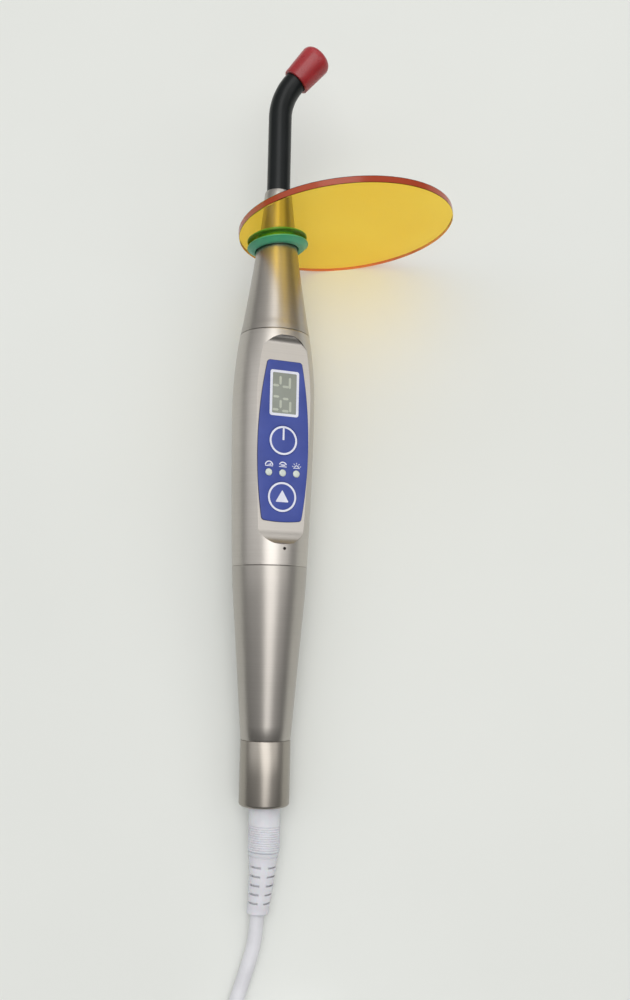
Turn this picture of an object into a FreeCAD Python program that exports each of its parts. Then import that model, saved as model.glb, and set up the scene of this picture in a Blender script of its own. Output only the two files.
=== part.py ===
# Corded LED curing light, laid on a table: metal wand in four turned shells, flat keypad panel,
# swivelling light guide with a tip cap, round amber eye shield on a silicone grommet, cable boot,
# cord with its put-away coil, and a barrel plug.
#
# Frames
#   axis frame : X across, Y = distance from the tail end along the wand axis, Z up from the axis
#   panel frame: the axis frame rolled about Y, so that Z is the normal of the flat panel
#   cord frame : the model's own frame (X right, Y towards the tip, Z up, table top at Z = 0)
# The wand lies on its tail rim and on the edge of its eye shield, so its axis climbs to the tip.
import FreeCAD, Part
import Sketcher
import os
import math

os.makedirs("parts", exist_ok=True)
V = FreeCAD.Vector
doc = FreeCAD.newDocument("curing_light")

# ------------------------------------------------------------------ driving sizes
SIZES = [
    ("pitch_deg", 6.547, "climb of the wand axis"),
    ("roll_deg", 22.3, "roll of the panel about the wand axis"),
    ("lift", 7.898, "height of the axis at the tail end"),
    ("shift_x", -22.614, "centres the outline on the origin"),
    ("shift_y", -111.359, "centres the outline on the origin"),
    ("tail_r", 8.05, "tail cap radius"),
    ("tail_len", 20.5, "tail cap length"),
    ("tail_bore", 6.5, "tail cap inner radius"),
    ("sleeve_end", 75.6, "front end of the rear sleeve"),
    ("body_end", 156.4, "front end of the main body"),
    ("body_bore", 9.3, "main body inner radius"),
    ("nose_end", 204.0, "front face of the nose cone"),
    ("guide_r", 4.0, "light guide radius"),
    ("guide_bore", 4.1, "socket bore in the nose"),
    ("panel_floor", 10.1, "flat panel floor above the axis"),
    ("overlay_top", 10.5, "top of the keypad overlay above the axis"),
    ("guide_bend_r", 20.5, "bend radius of the light guide"),
    ("guide_bend_deg", 39.76, "bend of the light guide"),
    ("guide_bend_at", 231.66, "start of the bend"),
    ("key_r", 4.9, "key radius"),
    ("power_at", 116.0, "power key centre"),
    ("mode_at", 97.6, "mode key centre"),
    ("lamp_at", 105.4, "row of indicator lamps"),
    ("lamp_gap", 4.72, "spacing of the indicator lamps"),
    ("shield_r", 35.9, "eye shield radius"),
    ("shield_t", 2.3, "eye shield thickness"),
    ("shield_hole", 8.35, "radius of the hole in the eye shield"),
    ("shield_at", 186.8, "eye shield plane along the axis"),
    ("shield_off_x", 23.125, "eye shield centre across"),
    ("shield_off_z", 6.33, "eye shield centre above the axis"),
    ("shield_lean_deg", 6.4, "lean of the shield and grommet"),
    ("cap_len", 13.0, "tip cap length"),
    ("cord_d", 4.5, "cord diameter"),
    ("boot_yaw_deg", 2.3, "sideways set of the cable boot"),
]
sheet = doc.addObject("Spreadsheet::Sheet", "Sizes")
D = {}
_row = [1]


def put(alias, value):
    cell = "A%d" % _row[0]
    _row[0] += 1
    sheet.set(cell, repr(round(float(value), 6)))
    sheet.setAlias(cell, alias)
    D[alias] = float(value)
    return alias


for a, v, _note in SIZES:
    put(a, v)
doc.recompute()


def ref(prefix, value):
    """A sheet alias for a size: the alias itself, or a new cell for a plain number."""
    if isinstance(value, str):
        return value
    return put(prefix, value)


def val(alias):
    return D[alias]


def plane(body, role):
    for o in body.Origin.OriginFeatures:
        if o.Role == role:
            return o
    raise RuntimeError("no plane " + role)


# ------------------------------------------------------------------ sketches
def closed_sketch(body, role, pts, tag, arcs=None, curves=None):
    """Closed outline through pts; arcs = {segment index: (radius, side)}, side +1 bulges to the
    left of the direction of travel, -1 to the right; curves = {segment index: inner points} is a
    smooth curve through those points."""
    arcs = arcs or {}
    curves = curves or {}
    sk = body.newObject("Sketcher::SketchObject", tag + "_outline")
    sk.AttachmentSupport = (plane(body, role), [""])
    sk.MapMode = "FlatFace"
    n = len(pts)
    al = []
    for i, (x, y) in enumerate(pts):
        al.append((ref("%s_a%d_x" % (tag, i), x), ref("%s_a%d_y" % (tag, i), y)))
    P = [V(val(a), val(b), 0) for a, b in al]
    ends = []
    for i in range(n):
        p, q = P[i], P[(i + 1) % n]
        if i in curves:
            g = Part.BSplineCurve()
            g.interpolate([p] + [V(a, b, 0) for a, b in curves[i]] + [q])
            k = sk.addGeometry(g, False)
            ends.append((k, 1, 2, None))
        elif i in arcs:
            R, side = arcs[i]
            ra = ref("%s_a%d_rad" % (tag, i), R)
            R = val(ra)
            m = (p + q) * 0.5
            d = q - p
            half = d.Length / 2.0
            left = V(-d.y, d.x, 0) / d.Length
            c = m - left * (side * math.sqrt(R * R - half * half))
            a0 = math.atan2(p.y - c.y, p.x - c.x)
            a1 = math.atan2(q.y - c.y, q.x - c.x)
            if side > 0:      # bulge to the left: travel is clockwise about the centre
                g = Part.ArcOfCircle(Part.Circle(c, V(0, 0, 1), R), a1, a0)
                k = sk.addGeometry(g, False)
                ends.append((k, 2, 1, ra))
            else:
                g = Part.ArcOfCircle(Part.Circle(c, V(0, 0, 1), R), a0, a1)
                k = sk.addGeometry(g, False)
                ends.append((k, 1, 2, ra))
        else:
            k = sk.addGeometry(Part.LineSegment(p, q), False)
            ends.append((k, 1, 2, None))
    for i in range(n):
        k, s, e, ra = ends[i]
        k2, s2, e2, _ = ends[(i + 1) % n]
        sk.addConstraint(Sketcher.Constraint("Coincident", k, e, k2, s2))
    for i in range(n):
        k, s, e, ra = ends[i]
        for axis, alias, v in (("DistanceX", al[i][0], P[i].x), ("DistanceY", al[i][1], P[i].y)):
            if abs(v) < 1e-9:
                sk.addConstraint(Sketcher.Constraint(
                    "PointOnObject", k, s, -2 if axis == "DistanceX" else -1))
                continue
            j = sk.addConstraint(Sketcher.Constraint(axis, -1, 1, k, s, v))
            nm = "d%d%s" % (i, axis[-1])
            sk.renameConstraint(j, nm)
            sk.setExpression("Constraints." + nm, "Sizes." + alias)
        if ra is not None:
            j = sk.addConstraint(Sketcher.Constraint("Radius", k, val(ra)))
            nm = "rad%d" % i
            sk.renameConstraint(j, nm)
            sk.setExpression("Constraints." + nm, "Sizes." + ra)
    return sk


def lathe(name, pts, arcs=None, curves=None):
    """A turned piece about Y: pts are (distance along the axis, radius)."""
    body = doc.addObject("PartDesign::Body", name)
    sk = closed_sketch(body, "YZ_Plane", pts, name, arcs, curves)
    rev = body.newObject("PartDesign::Revolution", name + "_turned")
    rev.Profile = sk
    rev.ReferenceAxis = (sk, ["H_Axis"])
    rev.Angle = 360
    sk.Visibility = False
    doc.recompute()
    return body


def prism(name, role, pts, length, arcs=None, start=0.0):
    """A padded outline. XY_Plane: pads along Z; YZ_Plane: pads along X."""
    body = doc.addObject("PartDesign::Body", name)
    sk = closed_sketch(body, role, pts, name, arcs)
    pad = body.newObject("PartDesign::Pad", name + "_pad")
    pad.Profile = sk
    la = ref(name + "_len", length)
    pad.setExpression("Length", "Sizes." + la)
    doc.recompute()
    if start:
        body.Placement = FreeCAD.Placement(
            V(0, 0, start) if role == "XY_Plane" else V(start, 0, 0), FreeCAD.Rotation())
    return body


def block(name, x0, x1, y0, y1, z0, z1):
    o = doc.addObject("Part::Box", name)
    for prop, v in (("Length", x1 - x0), ("Width", y1 - y0), ("Height", z1 - z0)):
        o.setExpression(prop, "Sizes." + put("%s_%s" % (name, prop.lower()), v))
    o.Placement = FreeCAD.Placement(V(x0, y0, z0), FreeCAD.Rotation())
    return o


def rod(name, x, y, z, r, length, axis="Y"):
    o = doc.addObject("Part::Cylinder", name)
    o.setExpression("Radius", "Sizes." + ref(name + "_radius", r))
    o.setExpression("Height", "Sizes." + ref(name + "_height", length))
    rot = {"Z": FreeCAD.Rotation(), "Y": FreeCAD.Rotation(V(1, 0, 0), -90),
           "X": FreeCAD.Rotation(V(0, 1, 0), 90)}[axis]
    o.Placement = FreeCAD.Placement(V(x, y, z), rot)
    return o


def torus_y(name, y, major, minor):
    o = doc.addObject("Part::Torus", name)
    o.setExpression("Radius1", "Sizes." + put(name + "_major", major))
    o.setExpression("Radius2", "Sizes." + put(name + "_minor", minor))
    o.Placement = FreeCAD.Placement(V(0, y, 0), FreeCAD.Rotation(V(1, 0, 0), -90))
    return o


def cut(name, base, tool):
    o = doc.addObject("Part::Cut", name)
    o.Base = base
    o.Tool = tool
    return o


def common(name, base, tool):
    o = doc.addObject("Part::Common", name)
    o.Base = base
    o.Tool = tool
    return o


def join(name, shapes):
    o = doc.addObject("Part::MultiFuse", name)
    o.Shapes = shapes
    return o


# ------------------------------------------------------------------ frames
pitch = FreeCAD.Rotation(V(1, 0, 0), D["pitch_deg"])
base = V(D["shift_x"], D["shift_y"], D["lift"])
AXIS = FreeCAD.Placement(base, pitch)
PANEL = AXIS * FreeCAD.Placement(V(0, 0, 0), FreeCAD.Rotation(V(0, 1, 0), D["roll_deg"]))
TABLE = FreeCAD.Placement(V(D["shift_x"], D["shift_y"], 0), FreeCAD.Rotation())
LEAN = AXIS * FreeCAD.Placement(V(0, D["shield_at"], 0),
                                FreeCAD.Rotation(V(0, 0, 1), D["shield_lean_deg"]))
BOOT = AXIS * FreeCAD.Placement(V(0, 0, 0),
                                FreeCAD.Rotation(V(0, 0, 1), 180.0 - D["boot_yaw_deg"])) \
    * FreeCAD.Placement(V(0, -5.0, 0), FreeCAD.Rotation())
NODES = []


def node(obj, name, frame):
    obj.Label = name
    obj.Placement = frame * obj.Placement if obj.TypeId in (
        "Part::Box", "Part::Cylinder", "Part::Torus", "Part::Cone", "Part::Sphere") else frame
    NODES.append((obj, name))
    return obj


# ------------------------------------------------------------------ outer shells
FLOOR = D["panel_floor"]
TOP = D["overlay_top"]

tail = lathe("tail_cap", [(0.0, 3.6), (0.0, 7.15), (0.9, "tail_r"), (20.3, "tail_r"),
                          ("tail_len", 7.85), ("tail_len", "tail_bore"), (2.2, "tail_bore"),
                          (2.2, 3.6)], {1: (0.9, 1)})
node(tail, "tail_cap", AXIS)

sleeve = lathe("rear_sleeve", [
    ("tail_len", 7.8), (20.7, 8.0), (65.3, 11.646), (75.4, 12.27), ("sleeve_end", 12.08),
    ("sleeve_end", 10.8), (77.0, 10.8), (77.0, 9.98), (78.0, 9.98), (78.0, 10.8), (79.3, 10.8),
    (79.3, 9.0), (60.0, 9.0), (26.0, 5.4), (14.2, 5.4), (14.2, 6.4), (16.0, 6.4), (16.0, 5.75),
    (16.9, 5.75), (16.9, 6.4), ("tail_len", 6.4)], {2: (249.0, 1)})
node(sleeve, "rear_sleeve", AXIS)

barrel = lathe("barrel", [
    ("sleeve_end", 12.1), (75.8, 12.28), (156.2, 11.17), ("body_end", 10.98),
    ("body_end", "body_bore"), (79.6, "body_bore"), (79.6, 10.9), ("sleeve_end", 10.9)],
    curves={1: [(88.0, 12.74), (100.0, 13.13), (112.0, 13.44), (122.0, 13.64), (128.0, 13.70),
                (134.0, 13.60), (140.0, 13.26), (145.0, 12.80), (150.0, 12.18)]})
# the flat panel pocket: a flat floor that runs out in a scoop at each end, with rounded ends in plan
side = prism("pocket_side", "YZ_Plane", [
    (87.5, "panel_floor"), (81.2, 14.445), (81.2, 18.0), (150.8, 18.0), (150.8, 12.6),
    (148.0, "panel_floor")], 30.0, {0: (6.74, -1), 4: (2.82, -1)}, start=-15.0)
plan = prism("pocket_plan", "XY_Plane", [
    (-9.0, 91.1), (-12.0, 100.0), (-12.0, 136.0), (-9.0, 141.9), (9.0, 141.9), (12.0, 136.0),
    (12.0, 100.0), (9.0, 91.1)], 14.0, {3: (9.001, 1), 7: (9.001, 1)}, start=6.0)
pocket = common("pocket", side, plan)
openings = [
    block("display_opening", -5.3, 5.3, 123.8, 139.4, 5.0, 12.0),
    rod("power_opening", 0, D["power_at"], 5.0, 5.1, 7.0, "Z"),
    rod("mode_opening", 0, D["mode_at"], 5.0, 5.1, 7.0, "Z"),
    rod("lamp_opening_a", -D["lamp_gap"], D["lamp_at"], 5.0, 0.9, 7.0, "Z"),
    rod("lamp_opening_b", 0, D["lamp_at"], 5.0, 0.9, 7.0, "Z"),
    rod("lamp_opening_c", D["lamp_gap"], D["lamp_at"], 5.0, 0.9, 7.0, "Z"),
    rod("buzzer_opening", 0.5, 81.0, 5.0, 0.5, 12.0, "Z"),
]
barrel_tools = join("barrel_cuts", [pocket] + openings)
main_body = cut("main_body_cut", barrel, barrel_tools)
node(main_body, "main_body", PANEL)

nose = lathe("nose_cone", [
    ("body_end", 9.2), ("body_end", 10.85), (156.6, 11.0), (203.7, 4.62), ("nose_end", 4.35),
    ("nose_end", "guide_bore"), (184.2, "guide_bore"), (184.2, 5.4), (171.0, 5.4), (171.0, 7.4),
    (158.0, 7.9), (151.2, 7.9), (151.2, 9.2), (153.2, 9.2), (153.2, 8.45), (154.1, 8.45),
    (154.1, 9.2)], {2: (680.0, -1)})
node(nose, "nose_cone", AXIS)

# ------------------------------------------------------------------ keypad panel
overlay_plate = prism("overlay_plate", "XY_Plane", [
    (-5.6, 89.95), (-6.83, 91.2), (-6.07, 141.2), (-4.9, 142.35), (4.9, 142.35), (6.07, 141.2),
    (6.83, 91.2), (5.6, 89.95)], 0.4,
    {0: (1.3, 1), 1: (145.0, 1), 2: (1.2, 1), 4: (1.2, 1), 5: (145.0, 1), 6: (1.3, 1), 7: (45.0, 1)},
    start=FLOOR)
overlay_holes = join("overlay_holes", [
    block("overlay_window", -5.0, 5.0, 124.0, 139.15, 9.5, 11.5),
    rod("overlay_power", 0, D["power_at"], 9.5, 5.0, 2.0, "Z"),
    rod("overlay_mode", 0, D["mode_at"], 9.5, 5.0, 2.0, "Z"),
    rod("overlay_lamp_a", -D["lamp_gap"], D["lamp_at"], 9.5, 1.2, 2.0, "Z"),
    rod("overlay_lamp_b", 0, D["lamp_at"], 9.5, 1.2, 2.0, "Z"),
    rod("overlay_lamp_c", D["lamp_gap"], D["lamp_at"], 9.5, 1.2, 2.0, "Z"),
])
node(cut("panel_overlay_cut", overlay_plate, overlay_holes), "panel_overlay", PANEL)
node(block("display_window_box", -4.95, 4.95, 124.05, 139.1, FLOOR, TOP), "display_window", PANEL)
node(block("display_module_box", -4.9, 4.9, 124.2, 139.0, 5.0, 10.0), "display_module", PANEL)
lenses = []
for i, s in enumerate((-1, 0, 1)):
    lenses.append(rod("lens_head_%d" % i, s * D["lamp_gap"], D["lamp_at"], FLOOR, 1.15, 0.45, "Z"))
    lenses.append(rod("lens_stem_%d" % i, s * D["lamp_gap"], D["lamp_at"], 6.4, 0.75, 3.75, "Z"))
node(join("indicator_lenses_set", lenses), "indicator_lenses", PANEL)


def key(name, at):
    head = rod(name + "_head", 0, at, 9.75, "key_r", TOP - 9.75, "Z")
    stem = rod(name + "_stem", 0, at, 9.0, 1.3, 1.0, "Z")
    return join(name + "_set", [head, stem])


node(key("power", D["power_at"]), "power_key", PANEL)
node(key("mode", D["mode_at"]), "mode_key", PANEL)

# ------------------------------------------------------------------ boards and carrier
board_plate = block("control_board_plate", -7.6, 7.6, 80.5, 147.0, 3.9, 4.9)
board_holes = join("control_board_holes", [
    rod("cb_hole_%d" % i, x, y, 3.0, 0.9, 3.0, "Z")
    for i, (x, y) in enumerate([(-5, 92), (5, 92), (-5, 143.5), (5, 143.5)])])
node(cut("control_board_cut", board_plate, board_holes), "control_board", PANEL)
sw = []
for i, y in enumerate((D["mode_at"], D["power_at"])):
    sw.append(block("switch_case_%d" % i, -3.0, 3.0, y - 3.0, y + 3.0, 4.9, 8.0))
    sw.append(rod("switch_plunger_%d" % i, 0, y, 7.9, 1.5, 0.7, "Z"))
node(join("tact_switches_set", sw), "tact_switches", PANEL)
node(join("indicator_leds_set", [
    block("chip_led_%d" % i, s * D["lamp_gap"] - 0.8, s * D["lamp_gap"] + 0.8,
          D["lamp_at"] - 0.6, D["lamp_at"] + 0.6, 4.9, 5.9) for i, s in enumerate((-1, 0, 1))]),
    "indicator_leds", PANEL)
node(cut("buzzer_cut", rod("buzzer_case", 0.3, 84.9, 4.9, 4.0, 3.2, "Z"),
         rod("buzzer_port", 0.3, 84.9, 7.0, 0.6, 2.0, "Z")), "buzzer", PANEL)
rails = [
    block("rail_left", -8.3, -7.1, 82.0, 147.0, -3.9, 3.9),
    block("rail_right", 7.1, 8.3, 82.0, 147.0, -3.9, 3.9),
    block("rail_bar_rear", -7.4, 7.4, 90.5, 93.5, -3.9, 3.9),
    block("rail_bar_front", -7.4, 7.4, 142.0, 145.0, -3.9, 3.9),
]
carrier_holes = join("carrier_holes", [
    rod("carrier_hole_%d" % i, x, y, -2.0, 0.8, 8.0, "Z")
    for i, (x, y) in enumerate([(-5, 92), (5, 92), (-5, 143.5), (5, 143.5)])]
    + [rod("carrier_wire_%d" % i, x, 140.0, -3.4, 0.9, 8.0, "Y") for i, x in enumerate((-2.5, 2.5))])
node(cut("carrier_cut", join("carrier_frame", rails), carrier_holes), "board_carrier", PANEL)
screws = []
for i, (x, y) in enumerate([(-5, 92), (5, 92), (-5, 143.5), (5, 143.5)]):
    screws.append(rod("carrier_screw_shank_%d" % i, x, y, -1.5, 0.75, 6.6, "Z"))
    screws.append(rod("carrier_screw_head_%d" % i, x, y, 4.9, 1.4, 0.9, "Z"))
node(join("carrier_screws_set", screws), "carrier_screws", PANEL)
node(block("driver_board_box", -7.6, 7.6, 84.0, 146.0, -4.9, -3.9), "driver_board", PANEL)
node(join("driver_parts_set", [
    rod("storage_coil", 0, 101.0, -8.2, 3.2, 3.3, "Z"),
    rod("smoothing_can", 0, 112.0, -7.3, 1.9, 14.0, "Y"),
    block("driver_chip", -2.5, 2.5, 130.0, 135.0, -6.0, -4.9),
    block("sense_resistor", -1.6, 1.6, 138.0, 140.0, -5.6, -4.9)]), "driver_parts", PANEL)
node(join("supply_wires_set", [
    rod("supply_wire_a", -0.75, 14.9, -3.29, 0.6, 73.0, "Y"),
    rod("supply_wire_b", 0.75, 14.9, -3.29, 0.6, 73.0, "Y")]), "supply_wires", PANEL)
node(join("lamp_wires_set", [
    rod("lamp_wire_a", -2.5, 137.0, -3.29, 0.6, 32.85, "Y"),
    rod("lamp_wire_b", 2.5, 137.0, -3.29, 0.6, 32.85, "Y")]), "lamp_wires", PANEL)

# ------------------------------------------------------------------ light source in the nose
sink = lathe("sink_blank", [(152.0, 1.2), (152.0, 4.6), (157.6, 4.6), (158.4, 7.25),
                            (169.8, 7.25), (169.8, 1.2)])
sink_holes = join("sink_holes", [rod("sink_hole_%d" % i, x, 150.0, -3.29, 0.9, 22.0, "Y")
                                 for i, x in enumerate((-2.5, 2.5))]
                  + [block("sink_slot_%d" % i, -8.0, 8.0, 160.0 + 3.2 * i, 161.4 + 3.2 * i, 5.2, 8.0)
                     for i in range(3)]
                  + [block("sink_slot_b%d" % i, -8.0, 8.0, 160.0 + 3.2 * i, 161.4 + 3.2 * i, -8.0, -5.2)
                     for i in range(3)])
node(cut("heat_sink_cut", sink, sink_holes), "heat_sink", PANEL)
node(rod("led_board_disc", 0, 169.9, 0, 7.2, 0.95, "Y"), "led_board", AXIS)
node(join("led_emitter_set", [block("led_base", -2.5, 2.5, 170.85, 171.9, -2.5, 2.5),
                              rod("led_dome", 0, 171.8, 0, 1.9, 1.0, "Y")]), "led_emitter", AXIS)
node(lathe("collimator_lens", [(173.2, 0.6), (173.2, 2.4), (177.6, 4.15), (178.3, 4.15),
                               (178.3, 0.6)]), "collimator_lens", AXIS)
node(lathe("lens_holder", [(171.1, 4.3), (171.1, 5.3), (179.0, 5.3), (179.0, 4.3)]),
     "lens_holder", AXIS)
node(join("seam_o_rings_set", [torus_y("ring_tail", 16.45, 6.1, 0.33),
                               torus_y("ring_sleeve", 77.5, 10.42, 0.42),
                               torus_y("ring_nose", 153.65, 8.84, 0.38)]), "seam_o_rings", AXIS)

# ------------------------------------------------------------------ cable entry
clamp_block = cut("clamp_cut", block("clamp_blank", -5.0, 5.0, 5.0, 12.5, -3.2, 3.2),
                  join("clamp_holes", [rod("clamp_bore", 0.3, 4.0, 0, 2.8, 10.0, "Y"),
                                       rod("clamp_hole_a", -3.95, 8.7, -2.0, 0.62, 6.0, "Z"),
                                       rod("clamp_hole_b", 4.2, 8.7, -2.0, 0.62, 6.0, "Z")]))
node(clamp_block, "cable_clamp", AXIS)
cs = []
for i, x in enumerate((-3.95, 4.2)):
    cs.append(rod("clamp_screw_shank_%d" % i, x, 8.7, -1.8, 0.6, 5.1, "Z"))
    cs.append(rod("clamp_screw_head_%d" % i, x, 8.7, 3.2, 1.0, 0.8, "Z"))
node(join("clamp_screws_set", cs), "clamp_screws", AXIS)
# boot frame: Y runs backwards, the tail face of the wand is at Y = 5
node(lathe("cable_boot", [
    (0.6, 2.3), (0.6, 4.9), (2.6, 4.9), (2.6, 3.4), (5.12, 3.4), (5.12, 4.7), (5.6, 5.2),
    (19.1, 5.2), (19.1, 4.7), (19.9, 4.7), (19.9, 5.1), (21.0, 5.0), (21.0, 4.5), (21.8, 4.45),
    (21.8, 4.85), (37.4, 4.1), (38.0, 3.7), (38.0, 2.3)]), "cable_boot", BOOT)
node(rod("inner_cable_rod", 0, -9.4, 0, 2.2, 47.4, "Y"), "inner_cable", BOOT)

# ------------------------------------------------------------------ light guide and its collar
node(lathe("swivel_ring", [(179.5, 4.06), (179.5, 5.3), (184.0, 5.3), (184.0, 4.06)]),
     "swivel_ring", AXIS)
node(lathe("guide_ferrule", [(179.6, 3.3), (179.6, 3.8), (179.8, "guide_r"), (187.0, "guide_r"),
                             (187.0, 3.6), (187.6, 3.6), (187.6, "guide_r"), (197.0, "guide_r"),
                             (197.0, 3.6), (197.6, 3.6), (197.6, "guide_r"), (203.0, "guide_r"),
                             (203.0, 3.3)]), "guide_ferrule", AXIS)
node(join("guide_o_rings_set", [torus_y("guide_ring_a", 187.3, 3.84, 0.22),
                                torus_y("guide_ring_b", 197.3, 3.84, 0.22)]),
     "guide_o_rings", AXIS)

TH = math.radians(D["guide_bend_deg"])
RB = D["guide_bend_r"]
TB = D["guide_bend_at"]
END_RUN = 0.48 + 10.6


def guide_body(name, start, outer, inner):
    """A rod along the guide's path: straight, one bend towards +X, straight to the tip."""
    body = doc.addObject("PartDesign::Body", name)
    path = body.newObject("Sketcher::SketchObject", name + "_path")
    path.AttachmentSupport = (plane(body, "XY_Plane"), [""])
    path.MapMode = "FlatFace"
    p0 = V(0, start, 0)
    p1 = V(0, TB, 0)
    c = V(RB, TB, 0)
    p2 = V(RB - RB * math.cos(TH), TB + RB * math.sin(TH), 0)
    p3 = p2 + V(math.sin(TH), math.cos(TH), 0) * END_RUN
    path.addGeometry(Part.LineSegment(p0, p1), False)
    path.addGeometry(Part.ArcOfCircle(Part.Circle(c, V(0, 0, 1), RB), math.pi - TH, math.pi), False)
    path.addGeometry(Part.LineSegment(p2, p3), False)
    path.addConstraint(Sketcher.Constraint("PointOnObject", 0, 1, -2))
    path.addConstraint(Sketcher.Constraint("Vertical", 0))
    path.addConstraint(Sketcher.Constraint("Tangent", 0, 2, 1, 2))
    path.addConstraint(Sketcher.Constraint("Tangent", 1, 1, 2, 1))
    for nm, con, expr in (
            ("start", Sketcher.Constraint("DistanceY", -1, 1, 0, 1, start),
             ref(name + "_start", start)),
            ("bend_at", Sketcher.Constraint("DistanceY", -1, 1, 0, 2, TB), "guide_bend_at"),
            ("bend_r", Sketcher.Constraint("Radius", 1, RB), "guide_bend_r"),
            ("end_run", Sketcher.Constraint("Distance", 2, END_RUN), ref(name + "_run", END_RUN))):
        j = path.addConstraint(con)
        path.renameConstraint(j, nm)
        path.setExpression("Constraints." + nm, "Sizes." + expr)
    j = path.addConstraint(Sketcher.Constraint("DistanceX", -1, 1, 1, 1, p2.x))
    path.renameConstraint(j, "bend_x")
    path.setExpression("Constraints.bend_x", "Sizes.guide_bend_r * (1 - cos(Sizes.guide_bend_deg * 1°))")
    prof = body.newObject("Sketcher::SketchObject", name + "_section")
    prof.AttachmentSupport = (plane(body, "XZ_Plane"), [""])
    prof.MapMode = "FlatFace"
    prof.AttachmentOffset = FreeCAD.Placement(V(0, 0, -start), FreeCAD.Rotation())
    for i, r in enumerate([outer] + ([inner] if inner else [])):
        k = prof.addGeometry(Part.Circle(V(0, 0, 0), V(0, 0, 1), val(r) if isinstance(r, str) else r), False)
        prof.addConstraint(Sketcher.Constraint("Coincident", k, 3, -1, 1))
        j = prof.addConstraint(Sketcher.Constraint("Radius", k, val(r) if isinstance(r, str) else r))
        prof.renameConstraint(j, "r%d_" % i)
        prof.setExpression("Constraints.r%d_" % i, "Sizes." + ref("%s_ring%d" % (name, i), r))
    pipe = body.newObject("PartDesign::AdditivePipe", name + "_pipe")
    pipe.Profile = prof
    pipe.Spine = path
    doc.recompute()
    return body


node(guide_body("guide_sheath", 203.0, "guide_r", 3.25), "guide_sheath", AXIS)
node(guide_body("guide_core", 179.6, 3.2, None), "guide_core", AXIS)

# tip cap: turned about the tip axis, open towards the wand
RIM = V(RB - RB * math.cos(TH), TB + RB * math.sin(TH), 0) + V(math.sin(TH), math.cos(TH), 0) * 0.48
TIP = AXIS * FreeCAD.Placement(RIM, FreeCAD.Rotation(V(0, 0, 1), -D["guide_bend_deg"]))
cap = lathe("tip_cap", [
    (0.0, 4.08), (0.0, 4.7), (0.3, 4.95), (10.2, 5.5), ("cap_len", 2.7), ("cap_len", 0.4),
    (10.9, 0.4), (10.9, 4.08)], {3: (2.8, 1)})
cap_plug = rod("cap_centre", 0, 10.9, 0, 0.45, 2.1, "Y")
node(join("tip_cap_set", [cap, cap_plug]), "tip_cap", TIP)

# ------------------------------------------------------------------ eye shield and grommet
# lean frame: Y is the shield's own axis, the origin lies on the wand axis
grom = lathe("grommet_ring", [
    (-3.3, 5.0), (-3.3, 8.7), (-2.05, 10.15), (-1.65, 10.4), (-1.35, 10.25), (-1.35, 8.2),
    (1.35, 8.2), (1.35, 10.05), (1.65, 10.2), (2.1, 9.9), (2.7, 9.0), (2.7, 5.0)])
# the bore follows the nose cone with clearance, so it is cut along the wand axis
bore = lathe("grommet_bore", [(160.0, 0.5), (160.0, 10.32), (181.2, 7.5), (204.0, 4.9),
                              (204.0, 0.5)], {})
bore.Placement = FreeCAD.Placement(V(0, 0, 0), FreeCAD.Rotation(V(0, 0, 1), -D["shield_lean_deg"])) \
    * FreeCAD.Placement(V(0, -D["shield_at"], 0), FreeCAD.Rotation())
node(cut("grommet_cut", grom, bore), "shield_grommet", LEAN)

lean = math.radians(D["shield_lean_deg"])
# shield centre, written in the lean frame
off = FreeCAD.Rotation(V(0, 0, 1), -D["shield_lean_deg"]).multVec(
    V(D["shield_off_x"], -math.tan(-lean) * 0.0, D["shield_off_z"]))
ecc = D["shield_off_x"] / math.cos(lean)
disc = lathe("shield_disc", [(-1.15, 0.5), (-1.15, 35.65), (-0.9, "shield_r"), (0.9, "shield_r"),
                             (1.15, 35.65), (1.15, 0.5)])
disc_core = rod("shield_core", 0, -1.15, 0, 1.0, "shield_t", "Y")
disc_full = join("shield_full", [disc, disc_core])
disc_full.Placement = FreeCAD.Placement(V(ecc, 0, D["shield_off_z"]), FreeCAD.Rotation())
hole = rod("shield_hole_cut", 0, -3.0, 0, "shield_hole", 6.0, "Y")
node(cut("shield_cut", disc_full, hole), "shield_plate", LEAN)

# ------------------------------------------------------------------ cord
RC = D["cord_d"] / 2.0


def tube_along(points, r, label):
    """Straight runs joined by tangent arcs, each arc as large as its two runs allow."""
    P = [V(*p) for p in points]
    edges = []
    last = P[0]
    radii = []
    for i in range(1, len(P) - 1):
        a, b, c = P[i - 1], P[i], P[i + 1]
        u = (b - a).normalize()
        w = (c - b).normalize()
        turn = math.acos(max(-1, min(1, u.dot(w))))
        run = min((b - a).Length, (c - b).Length)
        R = 0.45 * run / math.tan(turn / 2)
        radii.append(round(R, 1))
        s = 0.45 * run
        e0 = b - u * s
        e1 = b + w * s
        n = u.cross(w)
        n.normalize()
        centre = e0 + n.cross(u) * R
        mid = centre + ((b - centre).normalize()) * R
        edges.append(Part.LineSegment(last, e0).toShape())
        edges.append(Part.Arc(e0, mid, e1).toShape())
        last = e1
    edges.append(Part.LineSegment(last, P[-1]).toShape())
    wire = Part.Wire(edges)
    d0 = (P[1] - P[0]).normalize()
    circ = Part.Wire([Part.Circle(P[0], d0, r).toShape()])
    shell = wire.makePipeShell([circ], True, False)
    length = sum(e.Length for e in edges)
    ratio = shell.Volume / (math.pi * r * r * length)
    print(label, "length %.1f  radii %s  volume/section*length %.4f" % (length, radii, ratio))
    f = doc.addObject("Part::Feature", label + "_tube")
    f.Shape = shell
    return f, length


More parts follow.
